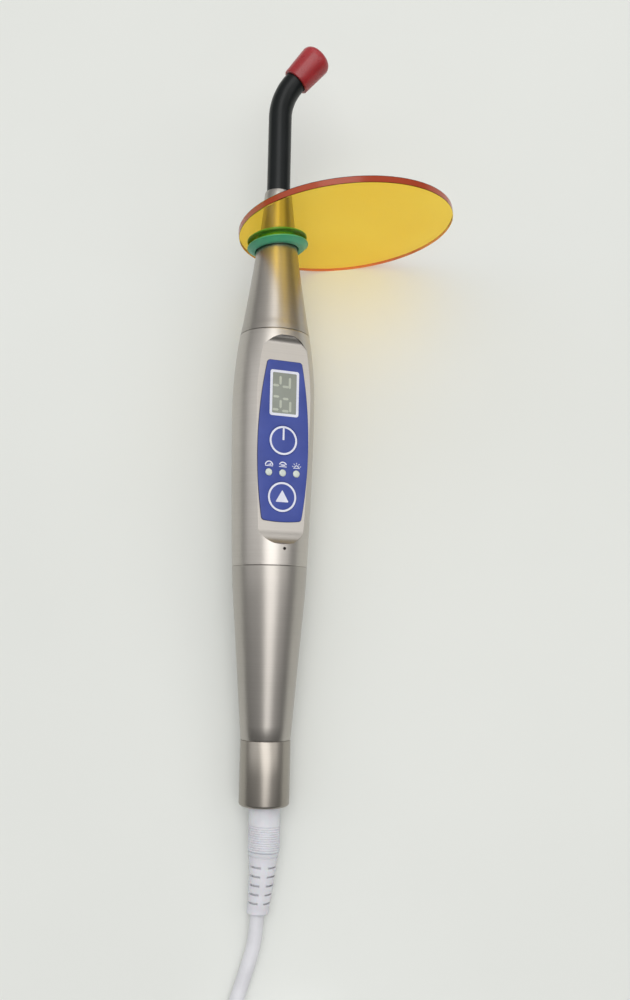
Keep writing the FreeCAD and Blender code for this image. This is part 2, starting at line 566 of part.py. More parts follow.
LEAD_IN = [
    (-1.324, -32.762, 4.145), (-1.66, -41.10, 3.19), (-4.25, -49.60, 2.47), (-8.30, -62.30, 2.33),
    (-12.90, -76.20, 2.45), (-17.55, -89.90, 2.85)]
LEAD_OUT = [
    (14.6, -132.4, 11.85), (27.0, -133.0, 11.6), (38.5, -132.2, 9.0), (50.5, -127.8, 5.4),
    (62.0, -121.8, 5.15)]
t1, len_in = tube_along(LEAD_IN, RC, "cord_tube")
node(t1, "cord_tube", TABLE)
t2, len_out = tube_along(LEAD_OUT, RC, "cord_tail")
node(t2, "cord_tail", TABLE)

COIL_C = (15.6, -98.8)
coil = lathe("cord_coil", [(0.65, 15.6), (0.65, 36.4), (9.8, 36.4), (14.2, 35.8), (14.2, 26.8),
                           (9.8, 25.8), (9.8, 15.6)])
COIL = TABLE * FreeCAD.Placement(V(COIL_C[0], COIL_C[1], 0), FreeCAD.Rotation(V(1, 0, 0), 90))
node(coil, "cord_coil", COIL)
ties = []
for i, ang in enumerate((62.0, 205.0)):
    outer = block("tie_outer_%d" % i, 14.0, 37.5, -4.0, 4.0, 0.02, 15.1)
    inner = block("tie_inner_%d" % i, 14.6, 36.8, -6.0, 6.0, 0.6, 14.5)
    t = cut("tie_%d" % i, outer, inner)
    t.Placement = FreeCAD.Placement(V(0, 0, 0), FreeCAD.Rotation(V(0, 0, 1), ang))
    ties.append(t)
tie_set = join("coil_ties_set", ties)
node(tie_set, "coil_ties", TABLE * FreeCAD.Placement(V(COIL_C[0], COIL_C[1], 0), FreeCAD.Rotation()))

# plug frame: Y runs out of the plug, the origin is where the cord enters its relief
pa = V(*LEAD_OUT[-2])
pb = V(*LEAD_OUT[-1])
pd = (pb - pa).normalize()
yaw = math.degrees(math.atan2(-pd.x, pd.y))
PLUG = TABLE * FreeCAD.Placement(V(pb.x, pb.y, pb.z), FreeCAD.Rotation(V(0, 0, 1), yaw))
node(lathe("plug_relief", [(0.0, 0.5), (0.0, 2.8), (0.5, 3.05), (13.0, 3.9), (13.0, 0.5)]),
     "plug_relief", PLUG)
node(lathe("plug_body", [(13.0, 0.5), (13.0, 4.5), (13.6, 5.0), (33.0, 5.0), (36.5, 4.7),
                         (37.5, 4.0), (37.5, 0.5)]), "plug_body", PLUG)
node(lathe("plug_barrel", [(37.5, 2.35), (37.5, 2.75), (46.7, 2.75), (47.0, 2.6), (47.0, 2.35)]),
     "plug_barrel", PLUG)
node(lathe("plug_insulator", [(37.5, 1.3), (37.5, 2.3), (46.6, 2.3), (46.6, 1.3)]),
     "plug_insulator", PLUG)
node(lathe("plug_contact", [(37.5, 1.05), (37.5, 1.27), (46.3, 1.27), (46.3, 1.05)]),
     "plug_contact", PLUG)

# ------------------------------------------------------------------ checks and files
doc.recompute()
bad = []
for o in doc.Objects:
    if any(s in o.State for s in ("Invalid", "Error")):
        bad.append(o.Name)
if bad:
    raise RuntimeError("failed objects: " + ", ".join(bad))
pocket_vol = barrel.Shape.Volume - main_body.Shape.Volume
print("barrel volume removed by the pocket and openings: %.1f" % pocket_vol)
if pocket_vol < 500:
    raise RuntimeError("the panel pocket cut nothing")
CORD = {"cord_tube", "cord_tail", "cord_coil", "coil_ties", "plug_relief", "plug_body",
        "plug_barrel", "plug_insulator", "plug_contact"}
box = FreeCAD.BoundBox()
for o, name in NODES:
    sh = o.Shape
    if sh.isNull() or not sh.isValid():
        raise RuntimeError("bad shape: " + name)
    if not sh.Solids:
        raise RuntimeError("no solid: " + name)
    if name not in CORD:
        box.add(sh.optimalBoundingBox(False))
    sh.exportStep("parts/%s.step" % name)
print("nodes", len(NODES))
print("object box", [round(v, 3) for v in (box.XMin, box.XMax, box.YMin, box.YMax, box.ZMin, box.ZMax)])
print("centre offset", round((box.XMin + box.XMax) / 2, 4), round((box.YMin + box.YMax) / 2, 4))
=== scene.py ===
import bpy, bmesh, math
from mathutils import Vector, Matrix


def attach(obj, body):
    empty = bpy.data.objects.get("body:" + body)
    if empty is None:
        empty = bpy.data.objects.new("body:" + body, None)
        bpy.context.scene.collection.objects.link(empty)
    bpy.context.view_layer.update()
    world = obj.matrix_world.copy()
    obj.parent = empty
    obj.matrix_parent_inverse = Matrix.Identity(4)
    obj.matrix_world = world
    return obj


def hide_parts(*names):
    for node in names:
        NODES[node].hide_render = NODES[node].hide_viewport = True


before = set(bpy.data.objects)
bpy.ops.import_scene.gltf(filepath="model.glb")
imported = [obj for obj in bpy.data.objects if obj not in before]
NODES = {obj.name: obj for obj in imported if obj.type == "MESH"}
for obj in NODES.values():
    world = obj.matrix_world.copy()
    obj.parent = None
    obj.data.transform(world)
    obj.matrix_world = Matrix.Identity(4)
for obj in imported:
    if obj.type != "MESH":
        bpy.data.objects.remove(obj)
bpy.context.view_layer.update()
col = bpy.context.scene.collection

# ---------------------------------------------------------------- frames (metres)
MM = 0.001
PITCH = math.radians(6.547)
ROLL = math.radians(22.3)
SHIFT = Vector((-22.614, -111.359, 7.898)) * MM
AXIS = Matrix.Translation(SHIFT) @ Matrix.Rotation(PITCH, 4, 'X')
PANEL = AXIS @ Matrix.Rotation(ROLL, 4, 'Y')
TABLE = Matrix.Translation(Vector((SHIFT.x, SHIFT.y, 0)))
S_AT, S_LEAN = 186.8, math.radians(6.4)
LEAN = AXIS @ Matrix.Translation(Vector((0, S_AT * MM, 0))) @ Matrix.Rotation(S_LEAN, 4, 'Z')
TH = math.radians(39.76)
RB, TB = 20.5, 231.66
RIM = Vector((RB - RB * math.cos(TH) + 0.48 * math.sin(TH), TB + RB * math.sin(TH) + 0.48 * math.cos(TH), 0)) * MM
TIP = AXIS @ Matrix.Translation(RIM) @ Matrix.Rotation(-TH, 4, 'Z')


# ---------------------------------------------------------------- mesh helpers
def new_obj(name, verts, faces, M=None, mats=(), smooth=True, face_mats=None):
    me = bpy.data.meshes.new(name)
    M = M or Matrix.Identity(4)
    me.from_pydata([tuple(M @ (Vector(v) * MM)) for v in verts], [], faces)
    me.validate()
    bm = bmesh.new()
    bm.from_mesh(me)
    bmesh.ops.remove_doubles(bm, verts=bm.verts, dist=1e-7)
    bmesh.ops.recalc_face_normals(bm, faces=bm.faces)
    bm.to_mesh(me)
    bm.free()
    for m in mats:
        me.materials.append(m)
    if smooth:
        me.polygons.foreach_set("use_smooth", [True] * len(me.polygons))
    ob = bpy.data.objects.new(name, me)
    col.objects.link(ob)
    return ob


def sharpen(ob, deg=30):
    ob.data.set_sharp_from_angle(angle=math.radians(deg))
    return ob


def spin(profile, seg=192, closed=True):
    """Verts and faces of an outline of (y, r) turned about Y. r = 0 makes a pole."""
    verts, faces = [], []
    n = len(profile)
    for (y, r) in profile:
        for k in range(seg):
            a = 2 * math.pi * k / seg
            verts.append((r * math.sin(a), y, r * math.cos(a)))
    last = n if closed else n - 1
    for i in range(last):
        j = (i + 1) % n
        for k in range(seg):
            l = (k + 1) % seg
            faces.append((i * seg + k, i * seg + l, j * seg + l, j * seg + k))
    return verts, faces


def lathe(name, profile, M, mat, seg=192, deg=30, closed=True):
    v, f = spin(profile, seg, closed)
    ob = new_obj(name, v, f, M, [mat])
    bm = bmesh.new()
    bm.from_mesh(ob.data)
    bmesh.ops.dissolve_degenerate(bm, edges=bm.edges, dist=1e-8)
    bmesh.ops.recalc_face_normals(bm, faces=bm.faces)
    bm.to_mesh(ob.data)
    bm.free()
    return sharpen(ob, deg)


def arc_pts(c, r, a0, a1, n):
    return [(c[0] + r * math.cos(math.radians(a0 + (a1 - a0) * i / n)),
             c[1] + r * math.sin(math.radians(a0 + (a1 - a0) * i / n))) for i in range(n + 1)]


def round_outline(pts, radii, n=8):
    """Polygon with rounded corners: pts in order, radii per corner."""
    out = []
    m = len(pts)
    for i in range(m):
        p, a, b = Vector(pts[i]), Vector(pts[i - 1]), Vector(pts[(i + 1) % m])
        r = radii[i] if isinstance(radii, (list, tuple)) else radii
        if r <= 0:
            out.append(tuple(p))
            continue
        u, w = (a - p).normalized(), (b - p).normalized()
        ang = u.angle(w)
        t = r / math.tan(ang / 2)
        c = p + (u + w).normalized() * (r / math.sin(ang / 2))
        s0, s1 = p + u * t - c, p + w * t - c
        a0 = math.atan2(s0.y, s0.x)
        d = math.atan2(s1.y, s1.x) - a0
        while d > math.pi: d -= 2 * math.pi
        while d < -math.pi: d += 2 * math.pi
        for k in range(n + 1):
            t_ = a0 + d * k / n
            out.append((c.x + r * math.cos(t_), c.y + r * math.sin(t_)))
    return out


def slab(name, outline, z0, z1, M, mat, holes=(), bevel=0.0, smooth=False):
    """A flat plate of any outline (x, y) with holes, between z0 and z1."""
    me = bpy.data.meshes.new(name)
    bm = bmesh.new()
    loops = [outline] + list(holes)
    edges = []
    for lp in loops:
        vs = [bm.verts.new((x, y, z0)) for x, y in lp]
        for i in range(len(vs)):
            edges.append(bm.edges.new((vs[i], vs[(i + 1) % len(vs)])))
    r = bmesh.ops.triangle_fill(bm, use_beauty=True, use_dissolve=False, edges=edges)
    fs = [f for f in r["geom"] if isinstance(f, bmesh.types.BMFace)]
    ext = bmesh.ops.extrude_face_region(bm, geom=bm.faces[:])
    for v in [g for g in ext["geom"] if isinstance(g, bmesh.types.BMVert)]:
        v.co.z = z1
    bmesh.ops.recalc_face_normals(bm, faces=bm.faces)
    if bevel > 0:
        rim = [e for e in bm.edges if len(e.link_faces) == 2 and e.calc_face_angle(0) > 1.0
               and all(v.co.z > (z0 + z1) / 2 for v in e.verts)]
        bmesh.ops.bevel(bm, geom=rim, offset=bevel, segments=3, profile=0.5, affect='EDGES')
    for v in bm.verts:
        v.co = M @ (v.co * MM)
    bmesh.ops.recalc_face_normals(bm, faces=bm.faces)
    bm.to_mesh(me)
    bm.free()
    me.materials.append(mat)
    ob = bpy.data.objects.new(name, me)
    col.objects.link(ob)
    me.polygons.foreach_set("use_smooth", [True] * len(me.polygons))
    me.set_sharp_from_angle(angle=math.radians(28))
    return ob


def circle(cx, cy, r, n=96):
    return [(cx + r * math.cos(2 * math.pi * i / n), cy + r * math.sin(2 * math.pi * i / n)) for i in range(n)]


def boolean(ob, tool, op='DIFFERENCE'):
    md = ob.modifiers.new("cut", 'BOOLEAN')
    md.operation = op
    md.solver = 'EXACT'
    md.object = tool
    dg = bpy.context.evaluated_depsgraph_get()
    dg.update()
    me = bpy.data.meshes.new_from_object(ob.evaluated_get(dg))
    ob.modifiers.clear()
    old = ob.data
    ob.data = me
    me.name = old.name
    bpy.data.objects.remove(tool)


# ---------------------------------------------------------------- materials
def mat_new(name, **k):
    m = bpy.data.materials.new(name)
    m.use_nodes = True
    b = m.node_tree.nodes["Principled BSDF"]
    for key, v in k.items():
        b.inputs[key].default_value = v
    return m, m.node_tree, b


def lin(r, g, b, a=1.0):
    f = lambda c: ((c / 255.0 + 0.055) / 1.055) ** 2.4 if c / 255.0 > 0.04045 else c / 255.0 / 12.92
    return (f(r), f(g), f(b), a)


def noise_color(nt, bsdf, c0, c1, scale, detail=4.0, coord="Object", lo=0.35, hi=0.65, vec=None):
    tc = nt.nodes.new("ShaderNodeTexCoord")
    no = nt.nodes.new("ShaderNodeTexNoise")
    no.inputs["Scale"].default_value = scale
    no.inputs["Detail"].default_value = detail
    nt.links.new(vec or tc.outputs[coord], no.inputs["Vector"])
    rp = nt.nodes.new("ShaderNodeValToRGB")
    rp.color_ramp.elements[0].position, rp.color_ramp.elements[0].color = lo, c0
    rp.color_ramp.elements[1].position, rp.color_ramp.elements[1].color = hi, c1
    nt.links.new(no.outputs["Fac"], rp.inputs["Fac"])
    nt.links.new(rp.outputs["Color"], bsdf.inputs["Base Color"])
    return no


def noise_rough(nt, bsdf, r0, r1, scale, vec=None):
    tc = nt.nodes.new("ShaderNodeTexCoord")
    no = nt.nodes.new("ShaderNodeTexNoise")
    no.inputs["Scale"].default_value = scale
    no.inputs["Detail"].default_value = 3.0
    nt.links.new(vec or tc.outputs["Object"], no.inputs["Vector"])
    mr = nt.nodes.new("ShaderNodeMapRange")
    mr.inputs["To Min"].default_value, mr.inputs["To Max"].default_value = r0, r1
    nt.links.new(no.outputs["Fac"], mr.inputs["Value"])
    nt.links.new(mr.outputs["Result"], bsdf.inputs["Roughness"])
    return no


def bump(nt, bsdf, src, strength, dist):
    bp = nt.nodes.new("ShaderNodeBump")
    bp.inputs["Strength"].default_value = strength
    bp.inputs["Distance"].default_value = dist
    nt.links.new(src, bp.inputs["Height"])
    nt.links.new(bp.outputs["Normal"], bsdf.inputs["Normal"])
    return bp


def axis_coords(nt, M):
    """Object coordinates turned into the wand's own frame, in metres."""
    tc = nt.nodes.new("ShaderNodeTexCoord")
    mp = nt.nodes.new("ShaderNodeMapping")
    mp.vector_type = 'TEXTURE'
    mp.inputs["Location"].default_value = M.to_translation()
    mp.inputs["Rotation"].default_value = M.to_euler('XYZ')
    nt.links.new(tc.outputs["Object"], mp.inputs["Vector"])
    return mp.outputs["Vector"]


def turned_metal(name, tone=(200, 192, 182), rough=(0.24, 0.34), lines=0.12, fine=2600.0):
    m, nt, b = mat_new(name, Metallic=1.0)
    ax = axis_coords(nt, AXIS)
    # lathe marks: noise that changes only along the axis
    sc = nt.nodes.new("ShaderNodeVectorMath"); sc.operation = 'MULTIPLY'
    sc.inputs[1].default_value = (8.0, fine, 8.0)
    nt.links.new(ax, sc.inputs[0])
    n1 = nt.nodes.new("ShaderNodeTexNoise"); n1.inputs["Scale"].default_value = 1.0
    n1.inputs["Detail"].default_value = 3.0
    nt.links.new(sc.outputs[0], n1.inputs["Vector"])
    # slow staining of the satin finish
    n2 = nt.nodes.new("ShaderNodeTexNoise"); n2.inputs["Scale"].default_value = 55.0
    n2.inputs["Detail"].default_value = 5.0
    nt.links.new(ax, n2.inputs["Vector"])
    mx = nt.nodes.new("ShaderNodeMix"); mx.data_type = 'RGBA'
    mx.inputs["A"].default_value = lin(*[c - 9 for c in tone])
    mx.inputs["B"].default_value = lin(*[min(255, c + 7) for c in tone])
    nt.links.new(n2.outputs["Fac"], mx.inputs["Factor"])
    m2 = nt.nodes.new("ShaderNodeMix"); m2.data_type = 'RGBA'; m2.blend_type = 'MULTIPLY'
    m2.inputs["Factor"].default_value = 1.0
    rp = nt.nodes.new("ShaderNodeValToRGB")
    rp.color_ramp.elements[0].position, rp.color_ramp.elements[0].color = 0.3, (0.955, 0.95, 0.945, 1)
    rp.color_ramp.elements[1].position, rp.color_ramp.elements[1].color = 0.6, (1, 1, 1, 1)
    nt.links.new(n1.outputs["Fac"], rp.inputs["Fac"])
    nt.links.new(mx.outputs["Result"], m2.inputs["A"])
    nt.links.new(rp.outputs["Color"], m2.inputs["B"])
    nt.links.new(m2.outputs["Result"], b.inputs["Base Color"])
    mr = nt.nodes.new("ShaderNodeMapRange")
    mr.inputs["To Min"].default_value, mr.inputs["To Max"].default_value = rough
    nt.links.new(n1.outputs["Fac"], mr.inputs["Value"])
    nt.links.new(mr.outputs["Result"], b.inputs["Roughness"])
    bump(nt, b, n1.outputs["Fac"], lines, 0.00004)
    return m


def plastic(name, c0, c1, rough=(0.35, 0.5), scale=220.0, bumps=0.05, bscale=1800.0, **k):
    m, nt, b = mat_new(name, **k)
    noise_color(nt, b, c0, c1, scale)
    noise_rough(nt, b, rough[0], rough[1], scale * 1.7)
    if bumps:
        tc = nt.nodes.new("ShaderNodeTexCoord")
        no = nt.nodes.new("ShaderNodeTexNoise")
        no.inputs["Scale"].default_value = bscale
        no.inputs["Detail"].default_value = 2.0
        nt.links.new(tc.outputs["Object"], no.inputs["Vector"])
        bump(nt, b, no.outputs["Fac"], bumps, 0.00005)
    return m


M_BODY = turned_metal("body_metal", (196, 191, 185), (0.31, 0.41), 0.03, 1500.0)
M_REAR = turned_metal("rear_metal", (184, 179, 173), (0.31, 0.41), 0.05, 2300.0)
M_TAIL = turned_metal("tail_metal", (166, 160, 152), (0.29, 0.39), 0.10, 2600.0)
M_NOSE = turned_metal("nose_metal", (178, 173, 167), (0.29, 0.38), 0.03, 1800.0)
M_BLUE = plastic("keypad_blue", lin(54, 72, 154), lin(62, 80, 164), (0.36, 0.46), 120.0, 0.04, 2500.0,
                 **{"Specular IOR Level": 0.45})
# dark navy: painted shade, standing in for the thin shadow line along the label's edges
M_EDGE_PAINTED_SHADE = plastic("keypad_edge_painted_shade", lin(40, 42, 80), lin(48, 50, 92), (0.4, 0.5), 200.0, 0)
M_WHITE = plastic("print_white", lin(228, 230, 246), lin(238, 240, 252), (0.4, 0.5), 300.0, 0.02)
M_WINDOW = plastic("window_grey", lin(138, 143, 134), lin(150, 155, 146), (0.18, 0.26), 90.0, 0)
M_DIGIT = plastic("digit_pale", lin(184, 189, 176), lin(194, 199, 186), (0.3, 0.4), 200.0, 0)
M_LAMP = plastic("lamp_lens", lin(206, 216, 208), lin(222, 230, 222), (0.2, 0.3), 400.0, 0)
M_GREEN = plastic("grommet_green", lin(72, 172, 134), lin(84, 184, 146), (0.30, 0.42), 150.0, 0.06, 2200.0,
                  **{"Subsurface Weight": 0.15, "Subsurface Scale": 0.001})
M_CAP = plastic("cap_red", lin(158, 40, 46), lin(174, 50, 56), (0.24, 0.32), 160.0, 0.08, 1800.0,
                **{"Subsurface Weight": 0.1, "Subsurface Scale": 0.001})
M_ROD = plastic("guide_black", lin(6, 12, 13), lin(11, 17, 19), (0.30, 0.38), 120.0, 0.02, 1500.0,
                **{"Specular IOR Level": 0.28})
M_BOOT = plastic("boot_white", lin(222, 222, 228), lin(232, 232, 238), (0.45, 0.6), 180.0, 0.10, 1600.0,
                 **{"Subsurface Weight": 0.12, "Subsurface Scale": 0.001})
# slightly darker whites of the same rubber: painted shade in the boot's slots and grooves
M_SLOT = plastic("boot_shade", lin(200, 200, 205), lin(208, 208, 213), (0.6, 0.7), 180.0, 0)
M_GROOVE_SHADE = plastic("boot_groove_painted_shade", lin(214, 214, 219), lin(222, 222, 227), (0.6, 0.7), 180.0, 0)
M_CORD = plastic("cord_white", lin(222, 222, 227), lin(232, 232, 237), (0.38, 0.5), 140.0, 0.06, 1400.0)
M_PLUG = plastic("plug_white", lin(214, 214, 220), lin(226, 226, 231), (0.35, 0.48), 200.0, 0.10, 2600.0)
M_TIE = plastic("tie_black", lin(30, 30, 33), lin(52, 52, 56), (0.8, 0.95), 900.0, 0.5, 2500.0)
M_STEEL = turned_metal("steel", (205, 205, 206), (0.18, 0.28), 0.10, 3000.0)
M_ALU = turned_metal("sink_metal", (214, 214, 216), (0.25, 0.38), 0.15, 2500.0)
M_PCB = plastic("board_green", lin(20, 96, 52), lin(30, 116, 64), (0.25, 0.4), 260.0, 0.1, 900.0)
M_BLACK = plastic("moulded_black", lin(26, 26, 28), lin(38, 38, 41), (0.4, 0.6), 260.0, 0.2, 2600.0)
M_RUBBER = plastic("seal_rubber", lin(20, 20, 20), lin(32, 32, 33), (0.6, 0.75), 320.0, 0.2, 2600.0)
M_LED = plastic("led_chip", lin(222, 200, 90), lin(236, 216, 110), (0.15, 0.25), 500.0, 0)
M_WIRE = plastic("wire_red", lin(170, 30, 26), lin(190, 40, 34), (0.35, 0.5), 400.0, 0.05)
M_CREAM = plastic("clamp_white", lin(214, 212, 206), lin(226, 224, 218), (0.4, 0.55), 300.0, 0.1)
M_LENS, _nt, _b = mat_new("clear_lens", Roughness=0.03, IOR=1.5)
_b.inputs["Transmission Weight"].default_value = 1.0
noise_color(_nt, _b, (0.93, 0.96, 0.98, 1), (0.97, 0.98, 1, 1), 60.0)


def amber(name, c0, c1, rough, trans, ior, shade, scale=40.0):
    m, nt, b = mat_new(name, Roughness=rough, IOR=ior)
    b.inputs["Transmission Weight"].default_value = trans
    noise_color(nt, b, c0, c1, scale, 2.0)
    out = nt.nodes["Material Output"]
    lp = nt.nodes.new("ShaderNodeLightPath")
    tr = nt.nodes.new("ShaderNodeBsdfTransparent")
    tr.inputs["Color"].default_value = shade
    mx = nt.nodes.new("ShaderNodeMixShader")
    nt.links.new(lp.outputs["Is Shadow Ray"], mx.inputs[0])
    nt.links.new(b.outputs[0], mx.inputs[1])
    nt.links.new(tr.outputs[0], mx.inputs[2])
    nt.links.new(mx.outputs[0], out.inputs["Surface"])
    return m


M_AMBER = amber("shield_amber", (0.985, 0.655, 0.058, 1), (1.0, 0.69, 0.068, 1), 0.02, 1.0, 1.15, (0.985, 0.94, 0.83, 1))
M_RIM = amber("shield_rim", lin(196, 70, 32), lin(206, 82, 40), 0.2, 0.3, 1.45, (0.92, 0.75, 0.6, 1))


# ---------------------------------------------------------------- carried-over CAD nodes
def paint(names, m):
    for n in names.split():
        ob = NODES[n]
        if not ob.data.materials:
            ob.data.materials.append(m)
        for i in range(len(ob.data.materials)):
            ob.data.materials[i] = m


paint("main_body", M_BODY)
paint("rear_sleeve", M_REAR)
paint("tail_cap", M_TAIL)
paint("nose_cone", M_NOSE)
paint("control_board driver_board led_board", M_PCB)
paint("tact_switches buzzer driver_parts lens_holder board_carrier", M_BLACK)
paint("display_module", M_CREAM)
paint("indicator_leds led_emitter", M_LED)
paint("carrier_screws clamp_screws swivel_ring guide_ferrule plug_contact", M_STEEL)
paint("heat_sink", M_ALU)
paint("supply_wires lamp_wires", M_WIRE)
paint("seam_o_rings guide_o_rings", M_RUBBER)
paint("cable_clamp", M_CREAM)
paint("collimator_lens guide_core", M_LENS)
paint("inner_cable", M_CORD)
paint("plug_insulator", M_BLACK)

# ---------------------------------------------------------------- keypad
FLOOR, TOP = 10.1, 10.5


def arc_side(x0, y0, x1, y1, R, n, left=True):
    """Points from (x0, y0) to (x1, y1) on a circle of radius R that bulges to the left of travel."""
    p, q = Vector((x0, y0)), Vector((x1, y1))
    d = q - p
    half = d.length / 2
    lv = Vector((-d.y, d.x)) / d.length
    s = 1 if left else -1
    c = (p + q) / 2 - lv * (s * math.sqrt(R * R - half * half))
    a0 = math.atan2(p.y - c.y, p.x - c.x)
    a1 = math.atan2(q.y - c.y, q.x - c.x)
    da = a1 - a0
    while da > math.pi: da -= 2 * math.pi
    while da < -math.pi: da += 2 * math.pi
    return [(c.x + R * math.cos(a0 + da * i / n), c.y + R * math.sin(a0 + da * i / n)) for i in range(n)]


overlay_out = (arc_side(-5.6, 89.95, -6.83, 91.2, 1.3, 8) + arc_side(-6.83, 91.2, -6.07, 141.2, 145.0, 40)
               + arc_side(-6.07, 141.2, -4.9, 142.35, 1.2, 8) + [(-4.9, 142.35)]
               + arc_side(4.9, 142.35, 6.07, 141.2, 1.2, 8) + arc_side(6.07, 141.2, 6.83, 91.2, 145.0, 40)
               + arc_side(6.83, 91.2, 5.6, 89.95, 1.3, 8) + arc_side(5.6, 89.95, -5.6, 89.95, 45.0, 16))
WIN = round_outline([(-4.98, 124.02), (4.98, 124.02), (4.98, 139.13), (-4.98, 139.13)], 0.75, 6)
PW, MD, LY, LG = 116.0, 97.6, 105.4, 4.72
holes = [WIN, circle(0, PW, 4.97), circle(0, MD, 4.97)] + [circle(s * LG, LY, 1.2, 48) for s in (-1, 0, 1)]
overlay = slab("keypad_overlay", overlay_out, FLOOR, TOP, PANEL, M_BLUE, holes, bevel=0.09)
# a dark navy band just outside the label's outline and below its top: painted shade for the shadow line along the
# label's edges
edge_shade_out = [(x * 1.0 + math.copysign(0.10, x), y + (0.10 if y > 116 else -0.10)) for x, y in overlay_out]
edge = slab("keypad_edge_painted_shade", edge_shade_out, FLOOR - 0.01, FLOOR + 0.22, PANEL, M_EDGE_PAINTED_SHADE, [[(x * 0.99, 116 + (y - 116) * 0.995) for x, y in overlay_out]])
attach(edge, "root")
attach(overlay, "root"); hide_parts("panel_overlay")
PZ = TOP + 0.012      # top of the print


def ring_slab(name, outer, inner, M, mat, body, z0=TOP - 0.02, z1=PZ):
    ob = slab(name, outer, z0, z1, M, mat, [inner])
    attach(ob, body)
    return ob


win_in = round_outline([(-4.15, 124.85), (4.15, 124.85), (4.15, 138.3), (-4.15, 138.3)], 0.35, 5)
ring_slab("window_border", WIN, win_in, PANEL, M_WHITE, "root", z0=FLOOR + 0.2, z1=TOP + 0.02)
window = slab("display_glass", win_in, FLOOR, TOP - 0.03, PANEL, M_WINDOW)
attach(window, "root"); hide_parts("display_window")


def bar(x0, y0, x1, y1, w):
    """A seven-segment stroke with pointed ends, from (x0, y0) to (x1, y1)."""
    p, q = Vector((x0, y0)), Vector((x1, y1))
    d = (q - p).normalized()
    nrm = Vector((-d.y, d.x)) * w / 2
    t = d * w / 2
    return [tuple(p), tuple(p + t + nrm), tuple(q - t + nrm), tuple(q), tuple(q - t - nrm), tuple(p + t - nrm)]


def shapes(name, outlines, z0, z1, M, mat, body):
    """Several flat marks as one piece."""
    obs = [slab("%s_%d" % (name, i), o[0] if isinstance(o[0][0], (tuple, list)) else o, z0, z1, M, mat,
                o[1:] if isinstance(o[0][0], (tuple, list)) else ()) for i, o in enumerate(outlines)]
    bm = bmesh.new()
    for o in obs:
        bm.from_mesh(o.data)
        bpy.data.objects.remove(o)
    me = bpy.data.meshes.new(name)
    bm.to_mesh(me)
    bm.free()
    me.materials.append(mat)
    ob = bpy.data.objects.new(name, me)
    col.objects.link(ob)
    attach(ob, body)
    return ob


# two unlit figures that read along the wand: the strokes that show
segs = []
sw = 0.78
for x0_, y0_, x1_, y1_ in ((-1.44, 137.3, -1.44, 134.25), (1.8, 137.0, 1.8, 133.15), (-4.05, 134.0, -1.87, 134.0), (-0.79, 133.75, 1.62, 133.75),
                           (-3.87, 130.3, -1.73, 130.3), (-0.63, 129.75, 1.5, 129.75), (-1.24, 129.35, -1.24, 126.5), (2.08, 129.05, 2.08, 125.45),
                           (-4.05, 126.0, -1.85, 126.0), (-0.77, 125.72, 1.65, 125.72)):
    segs.append(bar(x0_, y0_, x1_, y1_, sw))
shapes("display_digits", segs, TOP - 0.05, TOP - 0.022, PANEL, M_DIGIT, "root")


def key_top(name, at, body, node):
    ob = slab(name, circle(0, at, 4.9), 9.75, TOP, PANEL, M_BLUE, bevel=0.07)
    v, f = spin([(9.0, 0.0), (9.0, 1.2), (9.1, 1.3), (9.76, 1.3), (9.76, 0.0)], 48)
    bm = bmesh.new(); bm.from_mesh(ob.data)
    me2 = bpy.data.meshes.new("stem")
    me2.from_pydata([tuple(PANEL @ (Vector((x, at + z, y)) * MM)) for x, y, z in v], [], f)
    bm.from_mesh(me2)
    bmesh.ops.remove_doubles(bm, verts=bm.verts, dist=1e-7)
    bmesh.ops.dissolve_degenerate(bm, edges=bm.edges, dist=1e-8)
    bmesh.ops.recalc_face_normals(bm, faces=bm.faces)
    bm.to_mesh(ob.data); bm.free()
    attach(ob, body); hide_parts(node)
    return ob


key_top("power_button_cap", PW, "power_button", "power_key")
key_top("mode_button_cap", MD, "mode_button", "mode_key")
ring_slab("power_ring_print", circle(0, PW, 4.72), circle(0, PW, 4.08), PANEL, M_WHITE, "power_button")
shapes("power_bar_print", [[(-0.31, PW + 0.15), (0.31, PW + 0.15), (0.31, PW + 4.2), (-0.31, PW + 4.2)]],
       TOP - 0.02, PZ, PANEL, M_WHITE, "power_button")
ring_slab("mode_ring_print", circle(0, MD, 4.82), circle(0, MD, 4.18), PANEL, M_WHITE, "mode_button")
shapes("mode_arrow_print", [round_outline([(-2.25, MD - 1.65), (2.25, MD - 1.65), (0, MD + 2.3)], 0.18, 4)],
       TOP - 0.02, PZ, PANEL, M_WHITE, "mode_button")

# the three lamp windows: small domes
for i, s in enumerate((-1, 0, 1)):
    prof = [(6.4, 0.0), (6.4, 0.72), (10.1, 0.75), (10.1, 1.15), (10.45, 1.15)] + \
        [(10.45 + 0.28 * math.sin(math.radians(a)), 1.15 * math.cos(math.radians(a))) for a in range(15, 90, 15)] + \
        [(10.73, 0.0)]
    v, f = spin(prof, 64)
    ob = new_obj("lamp_window_%d" % i, [(s * LG + x, LY + z, y) for x, y, z in v], f, PANEL, [M_LAMP])
    bm = bmesh.new(); bm.from_mesh(ob.data)
    bmesh.ops.dissolve_degenerate(bm, edges=bm.edges, dist=1e-8)
    bmesh.ops.recalc_face_normals(bm, faces=bm.faces)
    bm.to_mesh(ob.data); bm.free()
    sharpen(ob, 40)
    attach(ob, "root")
    if i == 0:
        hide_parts("indicator_lenses")
# light-pattern icons over the lamps: slow rise, plain, pulsed
IY = LY + 2.25
icons = []


def half_ring(cx, cy, r0, r1, a0=0, a1=180, n=14):
    o = [(cx + r1 * math.cos(math.radians(a0 + (a1 - a0) * k / n)), cy + r1 * math.sin(math.radians(a0 + (a1 - a0) * k / n))) for k in range(n + 1)]
    i = [(cx + r0 * math.cos(math.radians(a0 + (a1 - a0) * k / n)), cy + r0 * math.sin(math.radians(a0 + (a1 - a0) * k / n))) for k in range(n, -1, -1)]
    return o + i


